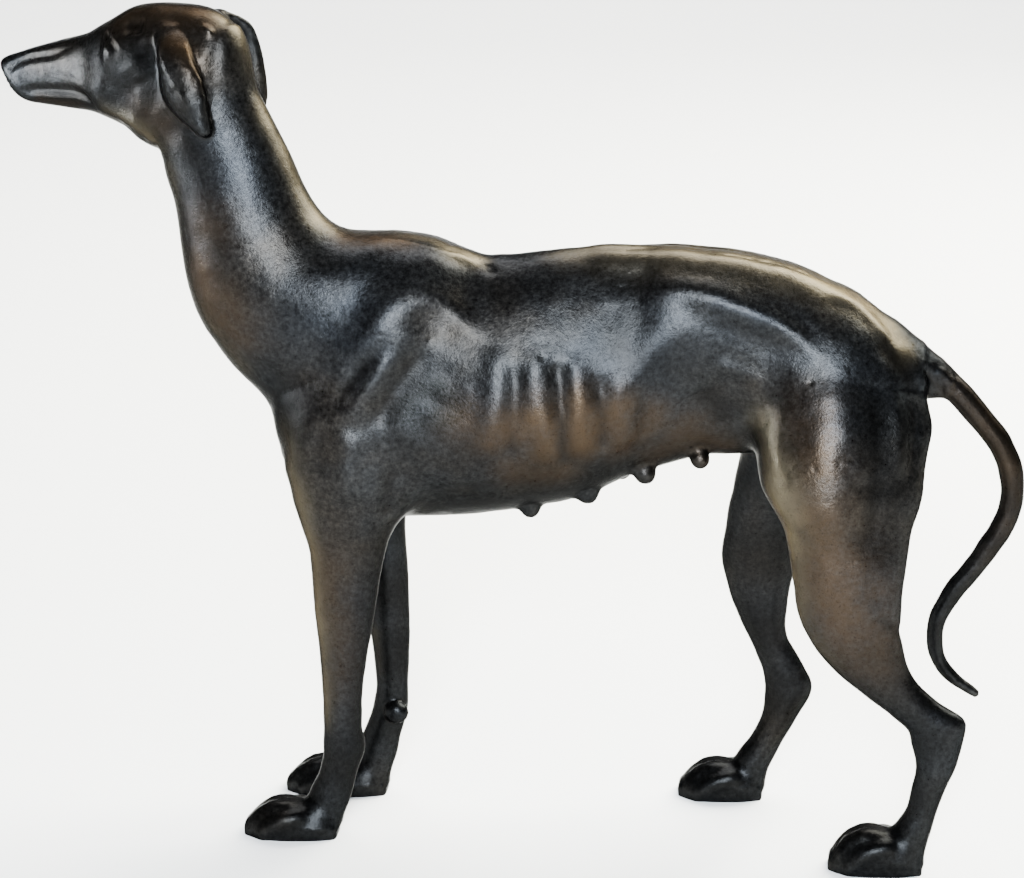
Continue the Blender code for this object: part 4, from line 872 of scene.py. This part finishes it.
# painted warm reflection and highlight in light tan: the chest and near fore leg fronts, throat and jaw, the back top,
# nape and withers, and the thigh front
PAINTED_REFLECTIONS = [
    ((-72, -20, 146), 5, .4), ((-70, -21, 134), 5, .5), ((-68, -22, 122), 5, .5), ((-66, -21, 108), 4.5, .6),
    ((-66, -20, 92), 5, .7), ((-65, -20, 76), 5, .7), ((-64, -20, 60), 4.5, .65), ((-63, -20, 44), 4, .5),
    ((-111, -5, 230), 4, .5), ((-109, -5, 218), 4, .5), ((-108, -4, 205), 4.5, .45), ((-105, -6, 192), 5, .4), ((-97, -9, 177), 5, .4),
    ((-88, -10, 165), 5, .4), ((-134, 2, 245), 3.4, .8), ((-128, -2, 244), 3.4, .8), ((-121, -4, 241), 3.8, .8), ((-115, -4, 236), 4, .6),
    
    ((20, -1, 206), 8, .5), ((35, -1, 207), 9, .8), ((48, -2, 207), 9, .9), ((61, -3, 206), 9, .9), ((74, -4, 205), 9, .9), ((87, -4, 202), 9, .9),
    ((98, -4, 199), 8, .9), ((110, -5, 193), 7, .9), ((119, -7, 186), 6, .8), ((126, -10, 176), 5, .7),
    ((48, 5, 207), 9, .8), ((74, 5, 205), 9, .8), ((98, 5, 199), 8, .8), ((112, 6, 192), 8, .7),
    ((-91, -1, 278), 5, .7), ((-86, -2, 273), 5, .8), ((-83, 0, 266), 5, .8), ((-81, 3, 257), 5, .6), ((-79, -2, 248), 5, .6),
    ((-75, -2, 239), 5, .6), ((-69, -2, 227), 5, .6), ((-64, -3, 215), 6, .6), ((-53, 1, 210), 5, .3), ((-43, 1, 210), 4, .4),
    ((-35, 0, 209), 4, .6), ((-27, -1, 208), 4, .8), ((-18, -4, 204), 4, .9), ((-11, -4, 201), 3.5, .9),
    ((84, -22, 152), 6, .8), ((86, -26, 146), 6, .9), ((88, -29, 140), 6.5, 1.0), ((90, -30, 133), 6.5, 1.0), ((91, -30, 126), 6.5, 1.0), ((92, -29, 119), 6.5, 1.0),
    ((92, -28, 112), 6.5, .9), ((94, -27, 105), 6, .8), ((97, -27, 98), 6, .7), ((100, -27, 91), 5, .6), ((104, -27, 84), 5, .5), ((109, -27, 77), 4.5, .4), ((-51, 12, 50), 3.5, .5), ((-51, 12, 62), 3.5, .4),
]
# painted shade, near-black: the far legs, the lower near legs and paws, the tail, the belly, the cheek and jaw, the
# chest front and patches of the flank
PAINTED_SHADE = [
    ((-29, -24, 169), 7, .7), ((-33, -26, 158), 7, .7), ((124, -27, 158), 8, .5), ((124, -28, 144), 8, .6), ((125, -29, 132), 8, .6),
    ((122, -31, 119), 8, .5), ((-45, 15, 105), 16, .8), ((-45, 15, 80), 16, .9), ((-45, 15, 55), 16, .9), ((-48, 16, 30), 16, .9),
    ((-60, 18, 8), 18, .8), ((90, 22, 125), 22, .7), ((86, 24, 95), 20, .8), ((84, 26, 65), 20, .9), ((90, 27, 40), 20, .9), ((72, 28, 8), 22, .9),
    ((-40, -18, 104), 11, .6), ((-40, -18, 94), 11, .75), ((-41, -18, 84), 11, .8), ((-41, -18, 74), 11, .8), ((-42, -18, 64), 11, .8), ((-43, -18, 54), 11, .8), ((-46, -18, 44), 11, .8), ((-49, -18, 34), 12, .8), ((-55, -18, 22), 14, .8), ((-68, -19, 7), 18, .8), ((-42, 11, 33), 5, .5),
    ((140, -27, 50), 14, .8), ((138, -26, 28), 14, .8), ((128, -26, 8), 20, .8), ((140, 0, 166), 9, .7), ((145, 0, 62), 10, .7),
    ((150, 0, 90), 15, .85), ((165, 0, 125), 15, .85), ((160, 0, 145), 14, .8), ((162, 0, 108), 14, .85), ((145, 0, 76), 12, .8), ((150, 0, 158), 12, .7),
    ((124, -30, 76), 14, .5), ((132, -28, 66), 14, .65), ((140, -27, 57), 14, .75), ((120, -26, 70), 12, .4), ((-124, -6, 263), 9, 1.0), ((-118, -8, 256), 10, 1.0), ((-112, -10, 250), 8, .8), ((-128, -3, 255), 8, .9), ((-10, 0, 114), 16, .6), ((20, 0, 118), 16, .6), ((-35, 0, 112), 14, .6),
    ((-93, -11, 268), 7, .5), ((-96, -13, 236), 6, .4), ((-126, -3, 258), 8, .6), ((-133, 1, 262), 4, .4), ((-116, -8, 262), 8, .7), ((-113, -11, 240), 5, .5), ((-102, -16, 258), 8, .55), ((-98, -16, 250), 6, .5), ((-20, -24, 160), 14, .5), ((-30, -22, 148), 14, .5), ((-12, -24, 145), 12, .45), ((10, -24, 130), 12, .4), ((30, -20, 132), 12, .4), ((50, -14, 134), 12, .4), ((-10, -20, 122), 12, .6), ((37, -25, 181), 12, .75), ((28, -26, 176), 9, .4), ((46, -22, 177), 10, .65), ((56, -20, 172), 12, .45), ((72, -20, 176), 12, .3), ((-134, 3, 262), 7, .9), ((-131, 0, 255), 8, .9), ((-108, -12, 244), 9, .7), ((-104, -14, 236), 8, .6), ((-121, -6, 248), 8, .7), ((-108, -13, 262), 6, .6), ((-101, -16, 252), 6, .5), ((-104, -14, 222), 9, .35), ((-104, -13, 206), 9, .35), ((-71, -12, 154), 9, 1.0), ((-160, 14, 247), 5, .8), ((-153, 11, 247), 5, .8), ((-146, 8, 247), 5, .8), ((-140, 5, 246), 5, .7), ((-70, -17, 155), 9, .8), ((-72, -14, 166), 8, .6), ((-68, -20, 143), 8, .5), ((-131, 0, 249), 7, .7), ((66, -12, 142), 12, .4),
    ((-67, -22, 160), 7, .8), ((-69.5, -22, 154.5), 8, 1.0), ((-70.5, -22, 149), 8, .9), ((-161, 17, 248.5), 3.2, .8), ((-153.5, 13.5, 248.7), 3.8, 1.0), ((-144, 9, 248.8), 3.8, 1.0),
    ((-130.5, 0, 247), 5, .8), ((-126, -2.5, 246), 5, .7), ((-112, -7, 238), 6, .5), ((-105, -12, 234), 6, .4), ((37, -20, 181), 11, .6),
    ((-16, -22, 178), 9, .35), ((-8, -23, 176), 9, .3), ((50, -20, 178), 10, .4), ((20, -25, 184), 10, .3), ((0, -24, 184), 10, .2),
]


def sculpt(F):
    """The cast body as a mesh object, set where the CAD solid stands."""
    step = 0.95
    G, lo = grid_of(F, LO, HI, step, 18)
    V, Q = surface_nets(G, lo, step)
    V = settle(V, G, lo, step)
    low, high = [np.array(c) * 1000 for c in CAD_BOX]
    V = V + np.array(PLACE)
    V[:, 0] = np.clip(V[:, 0], low[0] + .02, high[0] - .02)
    V[:, 1] = np.clip(V[:, 1], low[1] + .02, high[1] - .02)
    V[:, 2] = np.minimum(V[:, 2], high[2] - .02)
    mesh = bpy.data.meshes.new("greyhound_bronze")
    mesh.from_pydata((V * 0.001).tolist(), [], Q.tolist())
    mesh.update()
    thing = bpy.data.objects.new("greyhound_bronze", mesh)
    bpy.context.scene.collection.objects.link(thing)
    b = bmesh.new()
    if 2 * len(Q) > MOST_FACES:
        thinner = thing.modifiers.new("thinner", "DECIMATE")
        thinner.use_collapse_triangulate = True
        thinner.ratio = MOST_FACES / (2.0 * len(Q))
        bpy.context.view_layer.update()
        seen = thing.evaluated_get(bpy.context.evaluated_depsgraph_get())
        b.from_mesh(seen.to_mesh())
        seen.to_mesh_clear()
        thing.modifiers.remove(thinner)
    else:
        b.from_mesh(mesh)
    cut = bmesh.ops.bisect_plane(b, geom=b.verts[:] + b.edges[:] + b.faces[:], dist=1e-7,
                                 plane_co=(0, 0, 0), plane_no=(0, 0, 1), clear_inner=True)
    rim = [e for e in cut["geom_cut"] if isinstance(e, bmesh.types.BMEdge)]
    bmesh.ops.holes_fill(b, edges=rim, sides=0)
    bmesh.ops.remove_doubles(b, verts=b.verts[:], dist=1e-5)
    bmesh.ops.triangulate(b, faces=b.faces[:])
    bmesh.ops.recalc_face_normals(b, faces=b.faces[:])
    for f in b.faces:
        f.smooth = abs(f.normal.z + 1) > 1e-3 or f.calc_center_median().z > 1e-5
    b.to_mesh(mesh)
    b.free()
    mesh.update()
    return thing


def spots(mesh, name, places, strokes=()):
    """A soft mask on the mesh: places is a list of (point in mm, radius in mm, strength), and neighbours in it
    that lie close together are joined into a band; strokes are followed too."""
    V = np.empty(len(mesh.vertices) * 3)
    mesh.vertices.foreach_get("co", V)
    V = V.reshape(-1, 3) * 1000 - np.array(PLACE)
    out = np.zeros(len(V))
    for (p, r, s), (q, r1, s1) in zip(places, places[1:] + places[-1:]):
        p, d = np.array(p, float), np.array(q, float) - np.array(p, float)
        far = (d * d).sum()
        u = np.clip((V - p) @ d / far, 0, 1) if 0 < far < 17.5 ** 2 else np.zeros(len(V))
        off = ((V - p - u[:, None] * d) ** 2).sum(1)
        out = np.maximum(out, (s + (s1 - s) * u) * np.exp(-off / (r + (r1 - r) * u) ** 2))
    for line, s in strokes:
        near = ((V > line.lo) & (V < line.hi)).all(1)
        if near.any():
            out[near] = np.maximum(out[near], s * (np.abs(line(V[near])) / max(np.abs(line.h).max(), .1)) ** 2)
    layer = mesh.attributes.new(name, "FLOAT", "POINT")
    layer.data.foreach_set("value", np.clip(out, 0, 1).astype(np.float32))


def bronze():
    m = bpy.data.materials.new("dark_bronze_patina")
    m.use_nodes = True
    t = m.node_tree
    n, link = t.nodes, t.links.new
    p = n["Principled BSDF"]

    def node(kind, **sets):
        k = n.new(kind)
        for a, v in sets.items():
            setattr(k, a, v)
        return k

    def noise(scale, detail=4.0, rough=.55):
        k = node("ShaderNodeTexNoise")
        k.inputs["Scale"].default_value = scale
        k.inputs["Detail"].default_value = detail
        k.inputs["Roughness"].default_value = rough
        link(where.outputs["Object"], k.inputs["Vector"])
        return k

    def ramp(src, stops, ease="LINEAR"):
        k = node("ShaderNodeValToRGB")
        k.color_ramp.interpolation = ease
        e = k.color_ramp.elements
        e[0].position, e[0].color = stops[0][0], (*stops[0][1], 1)
        e[1].position, e[1].color = stops[-1][0], (*stops[-1][1], 1)
        for at, c in stops[1:-1]:
            x = e.new(at)
            x.color = (*c, 1)
        link(src, k.inputs["Fac"])
        return k

    def mix(fac, a, b, kind="MIX"):
        k = node("ShaderNodeMix", data_type="RGBA", blend_type=kind)
        for sock, v in ((k.inputs["Factor"], fac), (k.inputs["A"], a), (k.inputs["B"], b)):
            if hasattr(v, "links") or hasattr(v, "is_linked"):
                link(v, sock)
            else:
                sock.default_value = v
        return k.outputs["Result"]

    def math_(op, a, b=None, clamp=False):
        k = node("ShaderNodeMath", operation=op, use_clamp=clamp)
        for sock, v in ((k.inputs[0], a), (k.inputs[1], b)):
            if v is None:
                continue
            if hasattr(v, "is_linked"):
                link(v, sock)
            else:
                sock.default_value = v
        return k.outputs["Value"]

    where = node("ShaderNodeTexCoord")
    broad, mottle = noise(26, 3, .5), noise(640, 5, .65)
    grain, dust = noise(1500, 3, .65), noise(85, 4, .6)
    edge = node("ShaderNodeNewGeometry")
    warm, painted_reflection, painted_shade = (node("ShaderNodeAttribute", attribute_name=k, attribute_type="GEOMETRY") for k in ("warm", "painted_reflection", "painted_shade"))
    # near-black patina, browner in broad drifts
    tone = ramp(broad.outputs["Fac"], [(.36, (.0102, .0112, .0126)), (.54, (.0115, .0117, .0119)), (.72, (.0140, .0124, .0106))])
    speck = ramp(mottle.outputs["Fac"], [(.34, (.52, .52, .52)), (.52, (1, 1, 1)), (.70, (1.60, 1.58, 1.54))])
    colour = mix(1.0, tone.outputs["Color"], speck.outputs["Color"], "MULTIPLY")
    broken = ramp(dust.outputs["Fac"], [(.28, (.50,) * 3), (.58, (1,) * 3)]).outputs["Color"]
    colour = mix(math_("MULTIPLY", warm.outputs["Fac"], broken), colour, (.0285, .0185, .0105, 1))
    # painted warm reflection and highlight: light tan where that mask lies
    colour = mix(math_("MULTIPLY", painted_reflection.outputs["Fac"], broken), colour, (.070, .059, .040, 1))
    # painted shade: near-black where that mask lies, also along the grooves
    colour = mix(math_("MULTIPLY", painted_shade.outputs["Fac"], .90), colour, (.0032, .0031, .0029, 1))
    worn = ramp(edge.outputs["Pointiness"], [(.53, (0, 0, 0)), (.66, (1, 1, 1))])
    wear = math_("MULTIPLY", worn.outputs["Color"], math_("MULTIPLY", mottle.outputs["Fac"], .45), True)
    colour = mix(wear, colour, (.060, .054, .045, 1))
    low = ramp(edge.outputs["Pointiness"], [(.43, (1, 1, 1)), (.493, (0, 0, 0))])
    colour = mix(math_("MULTIPLY", low.outputs["Color"], .7), colour, (.008, .007, .006, 1))
    pits = ramp(grain.outputs["Fac"], [(.33, (0, 0, 0)), (.42, (1, 1, 1))])
    colour = mix(1.0, colour, mix(math_("SUBTRACT", 1.0, pits.outputs["Color"]), (1, 1, 1, 1), (.55, .54, .53, 1)), "MULTIPLY")
    link(colour, p.inputs["Base Color"])
    p.inputs["Metallic"].default_value = .93
    p.inputs["Specular Tint"].default_value = (.30, .30, .30, 1)
    p.inputs["Specular IOR Level"].default_value = 0.35
    gloss = ramp(mottle.outputs["Fac"], [(.30, (.27,) * 3), (.70, (.37,) * 3)])
    link(gloss.outputs["Color"], p.inputs["Roughness"])
    # sand-cast skin
    b0, b1, b2 = node("ShaderNodeBump"), node("ShaderNodeBump"), node("ShaderNodeBump")
    b0.inputs["Strength"].default_value, b0.inputs["Distance"].default_value = .12, .0010
    b1.inputs["Strength"].default_value, b1.inputs["Distance"].default_value = .42, .00020
    b2.inputs["Strength"].default_value, b2.inputs["Distance"].default_value = .60, .00015
    link(dust.outputs["Fac"], b0.inputs["Height"])
    link(mottle.outputs["Fac"], b1.inputs["Height"])
    link(grain.outputs["Fac"], b2.inputs["Height"])
    link(b0.outputs["Normal"], b1.inputs["Normal"])
    link(b1.outputs["Normal"], b2.inputs["Normal"])
    link(b2.outputs["Normal"], p.inputs["Normal"])
    return m


def lamp(name, where, aim, size, power, colour=(1, 1, 1), tall=None, beam=None):
    d = bpy.data.lights.new(name, "AREA")
    d.shape, d.size, d.size_y = "RECTANGLE", size, tall or size
    d.energy, d.color = power, colour
    if beam:
        d.spread = math.radians(beam)
    o = bpy.data.objects.new(name, d)
    bpy.context.scene.collection.objects.link(o)
    o.location = where
    o.rotation_euler = (Vector(aim) - Vector(where)).to_track_quat("-Z", "Y").to_euler()
    return o


CAD_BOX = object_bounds()
form = sculpture()
dog = sculpt(form)
drawn = [op[1] for op in form.ops if op[0] == "draw" and isinstance(op[1], Stroke)]
# the carved grooves also get painted shade along them
hollows = [(line, min(.85, -.65 * line.h.min())) for line in drawn if line.h.min() < -.4]
spots(dog.data, "warm", WARM)
spots(dog.data, "painted_reflection", PAINTED_REFLECTIONS)
spots(dog.data, "painted_shade", PAINTED_SHADE, hollows)
dog.data.materials.append(bronze())
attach(dog, "root")
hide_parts("greyhound")

# floor and backdrop in one sweep
floor_mesh = bpy.data.meshes.new("sweep")
b = bmesh.new()
rows = []
for i in range(25):
    t = i / 24
    if t < .5:
        y, z = -3.0 + t * 2 * 4.6, 0.0
    else:
        a = min((t - .5) / .3, 1) * math.pi / 2
        y, z = 1.6 + .8 * math.sin(a), .8 * (1 - math.cos(a)) + max(0, t - .8) * 12
    rows.append([b.verts.new((x, y, z)) for x in (-4.0, 4.0)])
for r0, r1 in zip(rows, rows[1:]):
    b.faces.new((r0[0], r0[1], r1[1], r1[0])).smooth = True
b.to_mesh(floor_mesh)
b.free()
floor = bpy.data.objects.new("sweep", floor_mesh)
bpy.context.scene.collection.objects.link(floor)
pale = bpy.data.materials.new("pale_sweep")
pale.use_nodes = True
q = pale.node_tree.nodes["Principled BSDF"]
q.inputs["Base Color"].default_value = (.87, .87, .865, 1)
q.inputs["Roughness"].default_value = 0.9
floor_mesh.materials.append(pale)

middle = Vector((PLACE[0] / 1000, PLACE[1] / 1000, .139))
a, e = math.radians(6), math.radians(18)
back = Vector((math.sin(a) * math.cos(e), -math.cos(a) * math.cos(e), math.sin(e)))
cam = bpy.data.cameras.new("camera")
cam.sensor_fit, cam.sensor_width = "HORIZONTAL", 36.0
cam.lens = 2700.0 * 36.0 / 1024.0
eye = bpy.data.objects.new("camera", cam)
bpy.context.scene.collection.objects.link(eye)
eye.location = middle + back * .9
eye.rotation_euler = (-back).to_track_quat("-Z", "Y").to_euler()
bpy.context.scene.camera = eye

def polar(az, el, far, aim=(0, 0, .15)):
    """A place seen from the middle of the dog at this azimuth from the camera's side, in degrees."""
    a, e = math.radians(az), math.radians(el)
    return (aim[0] + far * math.sin(a) * math.cos(e), aim[1] - far * math.cos(a) * math.cos(e), aim[2] + far * math.sin(e))


lamp("window", polar(3, 17, 1.35), (0, 0, .15), .36, 96, (.84, .92, 1.0), .62)
lamp("left", (-.68, -.14, .222), (-.15, .01, .257), .17, .42, (.86, .93, 1.0), .15, 26)
lamp("behind", polar(132, 42, 1.3), (0, 0, .16), 1.0, 130, (1.0, .99, .86), 1.0)
lamp("overhead", (0, 1.0, 2.2), (0, 1.7, .3), 1.6, 138)
world = bpy.data.worlds.new("studio")
bpy.context.scene.world = world
world.use_nodes = True
sky = world.node_tree.nodes["Background"]
sky.inputs["Color"].default_value = (.95, .97, 1, 1)
sky.inputs["Strength"].default_value = .22
